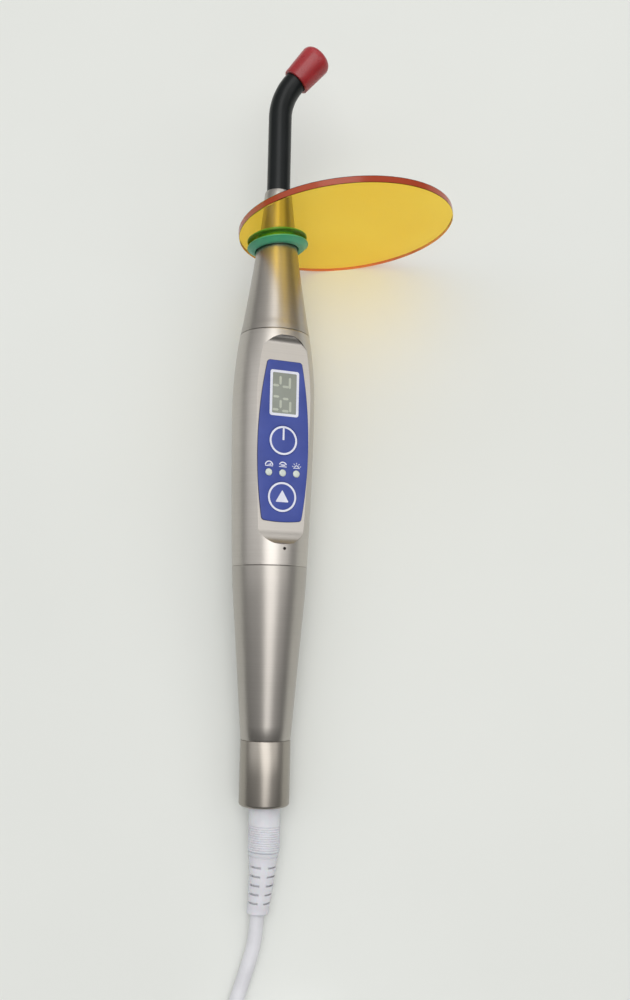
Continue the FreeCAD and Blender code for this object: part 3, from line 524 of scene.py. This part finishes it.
x = -LG
icons += [half_ring(x, IY, 1.05, 1.42), [(x - 1.3, IY - 0.35), (x + 1.3, IY - 0.35), (x + 1.3, IY - 0.1), (x - 1.3, IY - 0.1)],
          [(x - 0.75, IY + 0.1), (x + 0.75, IY + 0.1), (x + 0.75, IY + 0.62)]]
x = 0.0
icons += [half_ring(x, IY, 1.05, 1.42, 20, 160), [(x - 1.3, IY - 0.35), (x + 1.3, IY - 0.35), (x + 1.3, IY - 0.1), (x - 1.3, IY - 0.1)],
          [(x - 0.75, IY + 0.12), (x + 0.75, IY + 0.12), (x + 0.75, IY + 0.5), (x - 0.75, IY + 0.5)]]
x = LG
icons += [half_ring(x, IY - 0.2, 0.5, 0.78), [(x - 1.15, IY - 0.5), (x + 1.15, IY - 0.5), (x + 1.15, IY - 0.28), (x - 1.15, IY - 0.28)]]
for a in (15, 52, 90, 128, 165):
    c, s_ = math.cos(math.radians(a)), math.sin(math.radians(a))
    icons.append([(x + c * 1.05 - s_ * 0.11, IY - 0.2 + s_ * 1.05 + c * 0.11), (x + c * 1.05 + s_ * 0.11, IY - 0.2 + s_ * 1.05 - c * 0.11),
                  (x + c * 1.6 + s_ * 0.11, IY - 0.2 + s_ * 1.6 - c * 0.11), (x + c * 1.6 - s_ * 0.11, IY - 0.2 + s_ * 1.6 + c * 0.11)])
shapes("mode_icons_print", icons, TOP - 0.02, PZ, PANEL, M_WHITE, "root")

# ---------------------------------------------------------------- light guide and cap


def sweep(name, path, radius_fn, M, mat, seg=96, cap=True):
    """A round rod along planar or 3-D points (mm); radius_fn(i) in mm."""
    pts = [Vector(p) for p in path]
    n = len(pts)
    verts, faces = [], []
    t_prev = (pts[1] - pts[0]).normalized()
    nrm = Vector((0, 0, 1)) if abs(t_prev.z) < 0.9 else Vector((1, 0, 0))
    nrm = (nrm - t_prev * nrm.dot(t_prev)).normalized()
    for i, p in enumerate(pts):
        t = ((pts[min(i + 1, n - 1)] - pts[max(i - 1, 0)])).normalized()
        nrm = (nrm - t * nrm.dot(t)).normalized()
        b = t.cross(nrm)
        r = radius_fn(i)
        for k in range(seg):
            a = 2 * math.pi * k / seg
            verts.append(tuple(p + (nrm * math.cos(a) + b * math.sin(a)) * r))
    for i in range(n - 1):
        for k in range(seg):
            l = (k + 1) % seg
            faces.append((i * seg + k, i * seg + l, (i + 1) * seg + l, (i + 1) * seg + k))
    if cap:
        faces.append(tuple(range(seg - 1, -1, -1)))
        faces.append(tuple((n - 1) * seg + k for k in range(seg)))
    ob = new_obj(name, verts, faces, M, [mat])
    return sharpen(ob, 35)


def guide_path(y0, extra, step=1.0):
    pts = []
    n = max(2, int((TB - y0) / 2.0))
    for i in range(n):
        pts.append((0, y0 + (TB - y0) * i / n, 0))
    for i in range(25):
        a = TH * i / 24
        pts.append((RB - RB * math.cos(a), TB + RB * math.sin(a), 0))
    e = Vector((pts[-1][0], pts[-1][1], 0))
    d = Vector((math.sin(TH), math.cos(TH), 0))
    for k in range(1, 6):
        pts.append(tuple(e + d * (extra * k / 5)))
    return pts


gp = guide_path(203.0, 0.48 + 10.6)
sheath = sweep("guide_rod", gp, lambda i: 3.98 if 0 < i < len(gp) - 1 else 3.86, AXIS, M_ROD, 128)
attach(sheath, "light_guide"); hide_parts("guide_sheath")

cap_prof = [(0.0, 4.1), (0.0, 4.62)] + [(0.28 - 0.28 * math.cos(math.radians(a)), 4.62 + 0.28 * math.sin(math.radians(a))) for a in (30, 60, 90)]
cap_prof += [(1.0 + 9.0 * k / 8, 4.93 + (5.48 - 4.93) * (k / 8) ** 0.9) for k in range(1, 9)]
cap_prof += [(10.2 + 2.8 * math.sin(math.radians(a)), 2.7 + 2.8 * math.cos(math.radians(a))) for a in range(5, 91, 8)]
cap_prof += [(13.0, 1.2), (13.0, 0.0), (10.95, 0.0), (10.95, 4.0), (10.4, 4.1)]
cap = lathe("tip_cover", cap_prof, TIP, M_CAP, 160, 40)
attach(cap, "cap"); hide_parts("tip_cap")

# ---------------------------------------------------------------- grommet and eye shield
g_out = [(-3.3, 8.45), (-3.24, 8.62), (-2.95, 9.0), (-2.2, 9.88), (-1.95, 10.15)] + \
    [(-1.72 + 0.32 * math.cos(math.radians(a)), 10.09 + 0.32 * math.sin(math.radians(a))) for a in range(150, -1, -15)] + \
    [(-1.36, 9.9), (-1.35, 8.2), (1.35, 8.2), (1.36, 9.9)] + \
    [(1.72 - 0.32 * math.cos(math.radians(a)), 9.9 + 0.32 * math.sin(math.radians(a))) for a in range(0, 151, 15)] + \
    [(2.3, 9.55), (2.7, 8.9)]


def nose_r(y):
    """Radius of the nose cone at distance y along the wand."""
    c0, c1 = Vector((156.6, 11.0)), Vector((203.7, 4.62))
    f = (y - 156.6) / 47.1
    chord = 11.0 + (4.62 - 11.0) * f
    half = (c1 - c0).length / 2
    sag = 680 - math.sqrt(680 ** 2 - half ** 2)
    return chord - sag * (1 - (2 * f - 1) ** 2)


gv, gf = [], []
SEG = 160
ln = S_LEAN
inner = [(2.78 - 6.2 * k / 8) for k in range(9)]
rows = []
for (y, r) in g_out:
    rows.append([(r * math.sin(2 * math.pi * k / SEG), y, r * math.cos(2 * math.pi * k / SEG)) for k in range(SEG)])
for y in inner:
    ring = []
    for k in range(SEG):
        a = 2 * math.pi * k / SEG
        # the bore follows the nose cone, so it is found in the wand's own frame
        r = 7.0
        for _ in range(6):
            px, py, pz = r * math.sin(a), y, r * math.cos(a)
            wy = S_AT + py * math.cos(ln) + px * math.sin(ln)
            wx = px * math.cos(ln) - py * math.sin(ln)
            want = nose_r(wy) + 0.18 + 0.25 * max(0.0, (abs(y + 0.3) - 2.2) / 0.8) ** 2
            r += want - math.hypot(wx, pz)
        ring.append((r * math.sin(a), y * 0.97, r * math.cos(a)))
    rows.append(ring)
for ring in rows:
    gv += ring
nr = len(rows)
for i in range(nr):
    j = (i + 1) % nr
    for k in range(SEG):
        l = (k + 1) % SEG
        gf.append((i * SEG + k, i * SEG + l, j * SEG + l, j * SEG + k))
grommet = sharpen(new_obj("shield_collar", gv, gf, LEAN, [M_GREEN]), 50)
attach(grommet, "grommet"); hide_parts("shield_grommet")

# a flat disc with an eccentric hole; the outer rim's straight band takes the deeper edge colour
ECC, EZ, SR, SH, ST = 23.125 / math.cos(ln), 6.33, 35.9, 8.35, 1.15
bm = bmesh.new()
N = 360
b_ = 0.22


def ringverts(cx, cz, r, y, n=N):
    return [bm.verts.new((cx + r * math.sin(2 * math.pi * k / n), y, cz + r * math.cos(2 * math.pi * k / n))) for k in range(n)]


outer = [ringverts(ECC, EZ, SR - b_, -ST), ringverts(ECC, EZ, SR - b_ * 0.3, -ST + b_ * 0.3), ringverts(ECC, EZ, SR, -ST + b_),
         ringverts(ECC, EZ, SR, ST - b_), ringverts(ECC, EZ, SR - b_ * 0.3, ST - b_ * 0.3), ringverts(ECC, EZ, SR - b_, ST)]
NI = 120
innr = [ringverts(0, 0, SH + 0.15, -ST, NI), ringverts(0, 0, SH, -ST + 0.15, NI), ringverts(0, 0, SH, ST - 0.15, NI),
        ringverts(0, 0, SH + 0.15, ST, NI)]
bm.verts.ensure_lookup_table()
for rings, nn in ((outer, N), (innr, NI)):
    for i_, (a, b) in enumerate(zip(rings, rings[1:])):
        for k in range(nn):
            f = bm.faces.new((a[k], a[(k + 1) % nn], b[(k + 1) % nn], b[k]))
            f.material_index = 1 if nn == N and i_ == 2 else 0
            f.smooth = True
for y_side in (0, -1):
    es = []
    for ring, nn in ((outer[y_side], N), (innr[y_side], NI)):
        for k in range(nn):
            e = bm.edges.get((ring[k], ring[(k + 1) % nn])) or bm.edges.new((ring[k], ring[(k + 1) % nn]))
            es.append(e)
    bmesh.ops.triangle_fill(bm, use_beauty=True, use_dissolve=False, edges=es)
bmesh.ops.recalc_face_normals(bm, faces=bm.faces)
for v in bm.verts:
    v.co = LEAN @ (v.co * MM)
bmesh.ops.recalc_face_normals(bm, faces=bm.faces)
me = bpy.data.meshes.new("eye_shield")
bm.to_mesh(me); bm.free()
me.materials.append(M_AMBER); me.materials.append(M_RIM)
me.set_sharp_from_angle(angle=math.radians(15))
shield = bpy.data.objects.new("eye_shield", me)
col.objects.link(shield)
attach(shield, "shield"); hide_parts("shield_plate")

# ---------------------------------------------------------------- metal shells
tc = lathe("tail_shell", [(0.0, 3.6), (0.0, 7.15)] + [(0.9 - 0.9 * math.cos(math.radians(a)), 7.15 + 0.9 * math.sin(math.radians(a))) for a in range(10, 91, 10)]
           + [(10.0, 8.05), (20.3, 8.05), (20.42, 8.0), (20.5, 7.85), (20.5, 6.5), (2.2, 6.5), (2.2, 3.6)], AXIS, M_TAIL, 256, 25)
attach(tc, "root"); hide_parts("tail_cap")


def chord_arc(p, q, R, n, bulge=1):
    """Points after p up to q on an arc of radius R; bulge 1 outwards, -1 inwards."""
    f = (q[0] - p[0])
    L = math.hypot(q[0] - p[0], q[1] - p[1])
    sag = R - math.sqrt(R * R - (L / 2) ** 2)
    out = []
    for k in range(1, n + 1):
        s = k / n
        x = (s - 0.5) * L
        d = math.sqrt(R * R - x * x) - math.sqrt(R * R - (L / 2) ** 2)
        nx, nr = -(q[1] - p[1]) / L, (q[0] - p[0]) / L
        out.append((p[0] + f * s + bulge * nx * d, p[1] + (q[1] - p[1]) * s + bulge * nr * d))
    return out


rs_prof = [(20.5, 7.8), (20.56, 7.93), (20.7, 8.0)] + [(20.7 + 44.6 * k / 10, 8.0 + 3.646 * k / 10) for k in range(1, 10)] + [(65.3, 11.646)] \
    + chord_arc((65.3, 11.646), (75.4, 12.27), 249, 8) + [(75.54, 12.21), (75.6, 12.08), (75.6, 10.8), (77, 10.8), (77, 9.98), (78, 9.98), (78, 10.8),
       (79.3, 10.8), (79.3, 9.0), (60, 9.0), (26, 5.4), (14.2, 5.4), (14.2, 6.4), (16, 6.4), (16, 5.75), (16.9, 5.75), (16.9, 6.4), (20.5, 6.4)]
rs = lathe("rear_shell", rs_prof, AXIS, M_REAR, 256, 25)
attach(rs, "root"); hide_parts("rear_sleeve")

# main body: a barrel of smoothly changing radius with the keypad pocket milled in
KN = [(75.8, 12.28), (82, 12.52), (88, 12.74), (100, 13.13), (112, 13.44), (122, 13.64), (128, 13.70), (134, 13.60), (140, 13.26),
      (145, 12.80), (150, 12.18), (156.2, 11.17)]


def body_r(y):
    """Catmull-Rom radius of the barrel at y, with its slope."""
    y = max(KN[0][0], min(KN[-1][0], y))
    for i in range(len(KN) - 1):
        if y <= KN[i + 1][0]:
            break
    m = []
    for j in (i, i + 1):
        a, b = KN[max(0, j - 1)], KN[min(len(KN) - 1, j + 1)]
        m.append((b[1] - a[1]) / (b[0] - a[0]))
    h = KN[i + 1][0] - KN[i][0]
    t = (y - KN[i][0]) / h
    p0, p1 = KN[i][1], KN[i + 1][1]
    v = (2 * t ** 3 - 3 * t * t + 1) * p0 + (t ** 3 - 2 * t * t + t) * h * m[0] + (-2 * t ** 3 + 3 * t * t) * p1 + (t ** 3 - t * t) * h * m[1]
    dv = ((6 * t * t - 6 * t) * p0 + (3 * t * t - 4 * t + 1) * h * m[0] + (-6 * t * t + 6 * t) * p1 + (3 * t * t - 2 * t) * h * m[1]) / h
    return v, dv


SEAM = 152.95
rs_ = body_r(SEAM)[0]
nc_prof = [(SEAM, 9.2), (SEAM, rs_ - 0.38), (SEAM + 0.17, rs_ - 0.38), (SEAM + 0.17, rs_ - 0.08), (SEAM + 0.24, rs_ - 0.045)] \
    + [(153.4 + 2.8 * k / 10, body_r(153.4 + 2.8 * k / 10)[0] - 0.01 - 0.075 * (k / 10) ** 2) for k in range(11)] \
    + [(156.6, 11.0)] + chord_arc((156.6, 11.0), (203.7, 4.62), 680, 48, -1) \
    + [(203.93, 4.53), (204.0, 4.35), (204.0, 4.1), (184.2, 4.1), (184.2, 5.4), (171, 5.4), (171, 7.4), (158, 7.9), (151.2, 7.9), (151.2, 9.2)]
nc = lathe("nose_shell", nc_prof, AXIS, M_NOSE, 256, 25)
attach(nc, "root"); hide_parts("nose_cone")

mb_prof = [(75.6, 12.1), (75.66, 12.22), (75.8, 12.28)] + [(75.8 + 76.95 * k / 110, body_r(75.8 + 76.95 * k / 110)[0]) for k in range(1, 111)] \
    + [(SEAM - 0.04, rs_ - 0.05), (SEAM, rs_ - 0.15), (SEAM, 9.3), (79.6, 9.3), (79.6, 10.9), (75.6, 10.9)]
mb = lathe("body_shell", mb_prof, PANEL, M_BODY, 288, 25)


def prism(name, pts, lo, hi, plane):
    """plane 'th': pts are (t, h) run along u; plane 'ut': pts are (u, t) run along h. In the pocket frame, mm."""
    n = len(pts)
    if plane == 'th':
        v = [(lo, t, h) for t, h in pts] + [(hi, t, h) for t, h in pts]
    else:
        v = [(u, t, lo) for u, t in pts] + [(u, t, hi) for u, t in pts]
    f = [tuple(range(n)), tuple(range(2 * n - 1, n - 1, -1))] + [(i, (i + 1) % n, (i + 1) % n + n, i + n) for i in range(n)]
    return new_obj(name, v, f, PANEL, [M_BODY], smooth=False)


def arc_between(c, r, p, q, n, cw=False):
    a0, a1 = math.atan2(p[1] - c[1], p[0] - c[0]), math.atan2(q[1] - c[1], q[0] - c[0])
    d = a1 - a0
    while d > math.pi: d -= 2 * math.pi
    while d < -math.pi: d += 2 * math.pi
    return [(c[0] + r * math.cos(a0 + d * k / n), c[1] + r * math.sin(a0 + d * k / n)) for k in range(n + 1)]


side = arc_between((87.5, 16.84), 6.74, (87.5, 10.1), (81.2, 14.445), 24) + [(81.2, 18), (150.8, 18)] \
    + arc_between((148, 12.92), 2.82, (150.8, 12.6), (148, 10.1), 20)
plan = [(-9, 91.1), (-12, 100), (-12, 136), (-9, 141.9)] + arc_between((0, 141.9), 9.0, (-9, 141.9), (0, 150.9), 40)[1:] \
    + arc_between((0, 141.9), 9.0, (0, 150.9), (9, 141.9), 40)[1:] + [(12, 136), (12, 100), (9, 91.1)] \
    + arc_between((0, 91.1), 9.0, (9, 91.1), (0, 82.1), 40)[1:] + arc_between((0, 91.1), 9.0, (0, 82.1), (-9, 91.1), 40)[1:-1]
tool = prism("pocket_tool", side, -16, 16, 'th')
boolean(tool, prism("pocket_plan", plan, 9.0, 19.0, 'ut'), 'INTERSECT')
boolean(mb, tool)
cuts = [[(-5.3, 123.8), (5.3, 123.8), (5.3, 139.4), (-5.3, 139.4)], circle(0, PW, 5.1, 64), circle(0, MD, 5.1, 64), circle(0.5, 81.0, 0.5, 24)] \
    + [circle(s * LG, LY, 0.9, 32) for s in (-1, 0, 1)]
for i, c_ in enumerate(cuts):
    boolean(mb, prism("opening_%d" % i, c_, 8.0, 11.5 if i != 3 else 14.0, 'ut'))
INV = PANEL.inverted()
me = mb.data
me.polygons.foreach_set("use_smooth", [True] * len(me.polygons))
if "sharp_edge" in me.attributes:
    me.attributes.remove(me.attributes["sharp_edge"])
Rn, Rp = INV.to_3x3(), PANEL.to_3x3()
loop_n = [None] * len(me.loops)
for p in me.polygons:
    c = (INV @ p.center) / MM
    n = Rn @ p.normal
    rr = math.hypot(c.x, c.z)
    kind = None
    if 75.85 < c.y < 156.15 and abs(rr - body_r(c.y)[0]) < 0.12 and (n.x * c.x + n.z * c.z) / rr > 0.9:
        kind = 'out'
    elif c.y < 87.5 and abs(n.x) < 0.25 and abs(math.hypot(c.y - 87.5, c.z - 16.84) - 6.74) < 0.05:
        kind = 'lo'
    elif c.y > 148 and abs(n.x) < 0.25 and abs(math.hypot(c.y - 148, c.z - 12.92) - 2.82) < 0.05:
        kind = 'hi'
    elif c.y < 91.1 and abs(n.z) < 0.2 and abs(math.hypot(c.x, c.y - 91.1) - 9) < 0.05:
        kind = 'pl'
    elif c.y > 141.9 and abs(n.z) < 0.2 and abs(math.hypot(c.x, c.y - 141.9) - 9) < 0.05:
        kind = 'ph'
    elif abs(rr - 9.3) < 0.06 and (n.x * c.x + n.z * c.z) / rr < -0.9:
        kind = 'in'
    for li in p.loop_indices:
        v = (INV @ me.vertices[me.loops[li].vertex_index].co) / MM
        if kind == 'out':
            s_ = body_r(v.y)[1]
            w = Vector((v.x, -s_ * math.hypot(v.x, v.z), v.z))
        elif kind == 'lo':
            w = Vector((0, 87.5 - v.y, 16.84 - v.z))
        elif kind == 'hi':
            w = Vector((0, 148 - v.y, 12.92 - v.z))
        elif kind == 'pl':
            w = Vector((-v.x, 91.1 - v.y, 0))
        elif kind == 'ph':
            w = Vector((-v.x, 141.9 - v.y, 0))
        elif kind == 'in':
            w = Vector((-v.x, 0, -v.z))
        else:
            w = n
        loop_n[li] = (Rp @ w.normalized())
me.normals_split_custom_set([tuple(w) for w in loop_n])
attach(mb, "root"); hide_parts("main_body")

# ---------------------------------------------------------------- cable boot
BOOT = AXIS @ Matrix.Rotation(math.radians(180 - 2.3), 4, 'Z') @ Matrix.Translation(Vector((0, -5, 0)) * MM)
bp_ = [(0.6, 2.35), (0.6, 4.9), (2.6, 4.9), (2.6, 3.4), (5.12, 3.4), (5.12, 4.75), (5.3, 4.98)]
d = 5.6
while d < 13.3:
    bp_ += [(5 + d + 0.04, 5.06), (5 + d + 0.22, 5.12), (5 + d + 0.40, 5.06), (5 + d + 0.44, 4.84), (5 + d + 0.66, 4.84)]
    d += 0.70
bp_ += [(5 + 13.55, 5.0), (5 + 13.6, 4.56), (5 + 14.0, 4.56), (5 + 14.05, 4.92), (5 + 15.05, 4.8), (5 + 15.1, 4.42), (5 + 15.55, 4.42), (5 + 15.6, 4.64),
        (5 + 16.9, 4.43), (5 + 18.4, 4.27)]


def boot_r(dd):
    return 4.27 - 0.72 * (dd - 18.4) / 11.0


bp_ += [(5 + 18.4 + 13.4 * k / 14, boot_r(18.4 + 13.4 * k / 14)) for k in range(1, 15)] + [(5 + 32.3, 3.48), (5 + 32.7, 3.42), (5 + 32.9, 3.25), (5 + 33.0, 2.95), (5 + 33.0, 2.35)]
boot = lathe("boot_sleeve", bp_, BOOT, M_BOOT, 144, 35)
boot.data.materials.append(M_SLOT)
boot.data.materials.append(M_GROOVE_SHADE)
BI = BOOT.inverted()
# faces down in the grooves take the darker groove white: painted shade
for p in boot.data.polygons:
    c = (BI @ p.center) / MM
    rr, dd = math.hypot(c.x, c.z), c.y - 5
    if (5.5 < dd < 13.6 and rr < 4.9) or (13.4 < dd < 15.9 and rr < 4.6):
        p.material_index = 2
sv, sf = [], []
TURN = -11.0
for row, dd in enumerate((18.4, 21.15, 23.9, 26.6, 29.3)):
    rb = boot_r(dd)
    for cc in (45, 135, 225, 315):
        b0 = len(sv)
        K = 12
        for k in range(K + 1):
            a = math.radians(cc + TURN - 30.0 + 60.0 * k / K)
            for (yy, r_) in ((dd - 0.30, rb - 0.75), (dd + 0.30, rb - 0.75), (dd + 0.30, rb + 1.0), (dd - 0.30, rb + 1.0)):
                sv.append((r_ * math.sin(a), 5 + yy, r_ * math.cos(a)))
        for k in range(K):
            for j in range(4):
                sf.append((b0 + 4 * k + j, b0 + 4 * k + (j + 1) % 4, b0 + 4 * k + 4 + (j + 1) % 4, b0 + 4 * k + 4 + j))
        sf.append((b0 + 3, b0 + 2, b0 + 1, b0))
        sf.append((b0 + 4 * K, b0 + 4 * K + 1, b0 + 4 * K + 2, b0 + 4 * K + 3))
slot_tool = new_obj("slot_tool", sv, sf, BOOT, [M_BOOT, M_SLOT, M_GROOVE_SHADE], smooth=False)
slot_tool.data.polygons.foreach_set("material_index", [1] * len(slot_tool.data.polygons))
boolean(boot, slot_tool)
# the cord's pull gives the sleeve a slight bow
for v in boot.data.vertices:
    c = (BI @ v.co) / MM
    dd = max(0.0, min(33.0, c.y - 5))
    bow = 0.80 * math.sin(math.pi * min(1.0, (dd + 2) / 36.0)) ** 0.9
    v.co.x += bow * MM
boot.data.polygons.foreach_set("use_smooth", [True] * len(boot.data.polygons))
boot.data.set_sharp_from_angle(angle=math.radians(32))
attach(boot, "root"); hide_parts("cable_boot")

# ---------------------------------------------------------------- cord: one spline from the boot to the plug
LEAD_IN = [(-1.324, -32.762, 4.145), (-1.66, -41.10, 3.19), (-4.25, -49.60, 2.47), (-8.30, -62.30, 2.33),
           (-12.90, -76.20, 2.45), (-17.55, -89.90, 2.85)]
LEAD_OUT = [(14.6, -132.4, 11.85), (27.0, -133.0, 11.6), (38.5, -132.2, 9.0), (50.5, -127.8, 5.4), (62.0, -121.8, 5.15)]
CX, CY, PITCH_C, R0, R1 = 15.6, -98.8, 4.53, 34.15, 18.2
T1 = (R0 - R1) / PITCH_C            # turns in a full layer
T_UP = 0.36                         # part of a turn that climbs a layer
TOTAL = 8 + (263.0 - 171.0) / 360
cord_pts = list(LEAD_IN)
step = 1.0 / 18
k = 1
PHI0 = 165.5
T_IN = T1 + T_UP + T1               # where layer two ends
while k * step + (PHI0 / 360) < TOTAL + 165.5 / 360 + 0.0001:
    s = k * step
    if s < T1:
        r, z = R0 - PITCH_C * s, 2.85
    elif s < T1 + T_UP:
        f = (s - T1) / T_UP
        r, z = R1 - 0.25 * math.sin(math.pi * f), 2.85 + 4.5 * f * f * (3 - 2 * f)
    elif s < T_IN:
        r, z = R1 + PITCH_C * (s - T1 - T_UP), 7.35
    else:
        f = min(1.0, (s - T_IN) / 0.22)
        r, z = R0 - 0.5 * f, 7.35 + 4.5 * f * f * (3 - 2 * f)
    a = math.radians(PHI0) + 2 * math.pi * s
    cord_pts.append((CX + r * math.cos(a), CY + r * math.sin(a), z))
    k += 1
cord_pts += LEAD_OUT
cu = bpy.data.curves.new("cord", 'CURVE')
cu.dimensions = '3D'
cu.bevel_depth = 2.25 * MM
cu.bevel_resolution = 10
cu.resolution_u = 10
cu.use_fill_caps = True
sp = cu.splines.new('NURBS')
sp.points.add(len(cord_pts) - 1)
for p, q in zip(sp.points, cord_pts):
    w = TABLE @ (Vector(q) * MM)
    p.co = (w.x, w.y, w.z, 1.0)
sp.order_u = 3
sp.use_endpoint_u = True
cu.materials.append(M_CORD)
cord = bpy.data.objects.new("cord", cu)
col.objects.link(cord)
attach(cord, "root"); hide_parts("cord_tube", "cord_tail", "cord_coil")

# plug at the far end
pa, pb = Vector(LEAD_OUT[-2]), Vector(LEAD_OUT[-1])
yaw = math.atan2(-(pb.x - pa.x), pb.y - pa.y)
PLUG = TABLE @ Matrix.Translation(pb * MM) @ Matrix.Rotation(yaw, 4, 'Z')
rp_ = [(0.0, 2.3), (0.0, 2.7), (0.3, 2.95)]
yy = 0.9
while yy < 12.0:
    rr = 2.95 + (3.9 - 2.95) * yy / 13.0
    rp_ += [(yy, rr), (yy + 0.1, rr - 0.45), (yy + 0.75, rr - 0.45), (yy + 0.85, rr + 0.06)]
    yy += 1.75
rp_ += [(12.6, 3.88), (13.0, 3.88), (13.0, 2.3)]
relief = lathe("plug_strain_relief", rp_, PLUG, M_BOOT, 96, 35)
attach(relief, "root"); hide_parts("plug_relief")
grip = []
for j in range(8):
    y0_ = 17.0 + 1.6 * j
    grip += [(y0_, 5.0), (y0_ + 0.2, 4.7), (y0_ + 0.7, 4.7), (y0_ + 0.9, 5.0)]
pb_prof = [(13.0, 0.6), (13.0, 4.3), (13.15, 4.6), (13.6, 4.95), (14.2, 5.0)] + grip + [(31.0, 5.0), (33.0, 4.98), (35.0, 4.86), (36.5, 4.65), (37.2, 4.3), (37.5, 3.8), (37.5, 0.6)]
plug = lathe("plug_grip", pb_prof, PLUG, M_PLUG, 128, 30)
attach(plug, "root"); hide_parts("plug_body")
barrel = lathe("plug_sleeve", [(37.5, 2.35), (37.5, 2.75), (46.5, 2.75), (46.8, 2.7), (47.0, 2.55), (47.0, 2.4), (46.8, 2.35)], PLUG, M_STEEL, 96, 30)
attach(barrel, "root"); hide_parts("plug_barrel")

# hook-and-loop ties on the coil: rounded loops of strap
for i, (ang, top) in enumerate(((62.0, 10.2), (205.0, 14.55))):
    oo = round_outline([(14.05, 0.05), (37.35, 0.05), (37.35, top + 0.5), (14.05, top + 0.5)], 1.8, 8)
    ii = round_outline([(14.6, 0.55), (36.8, 0.55), (36.8, top), (14.6, top)], 1.3, 8)
    T = TABLE @ Matrix.Translation(Vector((CX, CY, 0)) * MM) @ Matrix.Rotation(math.radians(ang), 4, 'Z') @ Matrix.Rotation(math.radians(90), 4, 'X')
    t_ = slab("coil_tie_%d" % i, oo, -4.0, 4.0, T, M_TIE, [ii])
    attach(t_, "root")
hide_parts("coil_ties")

# ---------------------------------------------------------------- camera
camd = bpy.data.cameras.new("camera")
camd.lens = 34.57
camd.sensor_width = 36.0
camd.sensor_fit = 'AUTO'
camd.clip_start, camd.clip_end = 0.02, 20
cam = bpy.data.objects.new("camera", camd)
cam.matrix_world = AXIS @ Matrix.Translation(Vector((15.217, 58.45, 315.11)) * MM) @ Matrix.Rotation(math.radians(1.036), 4, 'Z') @ Matrix.Rotation(math.radians(7.162), 4, 'X')
col.objects.link(cam)
bpy.context.scene.camera = cam

bpy.context.scene.view_settings.view_transform = 'Standard'

# ---------------------------------------------------------------- floor, world and lights
M_FLOOR, nt_, b_f = mat_new("floor_pale", Roughness=0.85)
b_f.inputs["Specular IOR Level"].default_value = 0.1
noise_color(nt_, b_f, lin(233, 235, 231), lin(236, 238, 234), 6.0)
fme = bpy.data.meshes.new("floor")
S_ = 3.0
fme.from_pydata([(-S_, -S_, -0.00006), (S_, -S_, -0.00006), (S_, S_, -0.00006), (-S_, S_, -0.00006)], [], [(0, 1, 2, 3)])
fme.materials.append(M_FLOOR)
floor = bpy.data.objects.new("floor", fme)
col.objects.link(floor)


def area(name, loc, look, size, size_y, power, color=(1, 1, 1)):
    l = bpy.data.lights.new(name, 'AREA')
    l.shape = 'RECTANGLE'
    l.size, l.size_y = size, size_y
    l.energy = power
    l.color = color
    o = bpy.data.objects.new(name, l)
    o.location = loc
    o.rotation_euler = (Vector(look) - Vector(loc)).to_track_quat('-Z', 'Y').to_euler()
    col.objects.link(o)
    return o


area("key_soft", (0.05, 0.08, 1.45), (0.0, 0.05, 0), 1.7, 1.0, 10.7, (1.0, 0.997, 0.99))
area("far_soft", (0.45, 1.30, 1.05), (0, 0.05, 0.02), 1.3, 0.5, 2.6, (1.0, 0.995, 0.985))
area("right_soft", (1.35, 0.10, 1.35), (0, 0.0, 0.02), 0.9, 1.0, 2.2, (1.0, 0.99, 0.975))
area("left_soft", (-1.35, 0.2, 1.1), (0, 0, 0), 0.9, 1.4, 2.2, (0.985, 0.99, 1.0))

w = bpy.data.worlds.new("studio")
bpy.context.scene.world = w
w.use_nodes = True
wn = w.node_tree
bg = wn.nodes["Background"]
tcw = wn.nodes.new("ShaderNodeTexCoord")
sep = wn.nodes.new("ShaderNodeSeparateXYZ")
wn.links.new(tcw.outputs["Generated"], sep.inputs[0])
rw = wn.nodes.new("ShaderNodeValToRGB")
rw.color_ramp.elements[0].position, rw.color_ramp.elements[0].color = 0.0, (0.30, 0.30, 0.295, 1)
rw.color_ramp.elements[1].position, rw.color_ramp.elements[1].color = 0.95, (0.86, 0.86, 0.85, 1)
wn.links.new(sep.outputs["Z"], rw.inputs["Fac"])
mrw = wn.nodes.new("ShaderNodeMapRange")      # the room is darker behind the tail
mrw.interpolation_type = 'SMOOTHSTEP'
mrw.inputs["From Min"].default_value, mrw.inputs["From Max"].default_value = -0.42, 0.02
mrw.inputs["To Min"].default_value, mrw.inputs["To Max"].default_value = 0.30, 1.0
wn.links.new(sep.outputs["Y"], mrw.inputs["Value"])
mul = wn.nodes.new("ShaderNodeVectorMath"); mul.operation = 'SCALE'
wn.links.new(rw.outputs["Color"], mul.inputs[0])
wn.links.new(mrw.outputs["Result"], mul.inputs["Scale"])
wn.links.new(mul.outputs["Vector"], bg.inputs["Color"])
bg.inputs["Strength"].default_value = 0.78
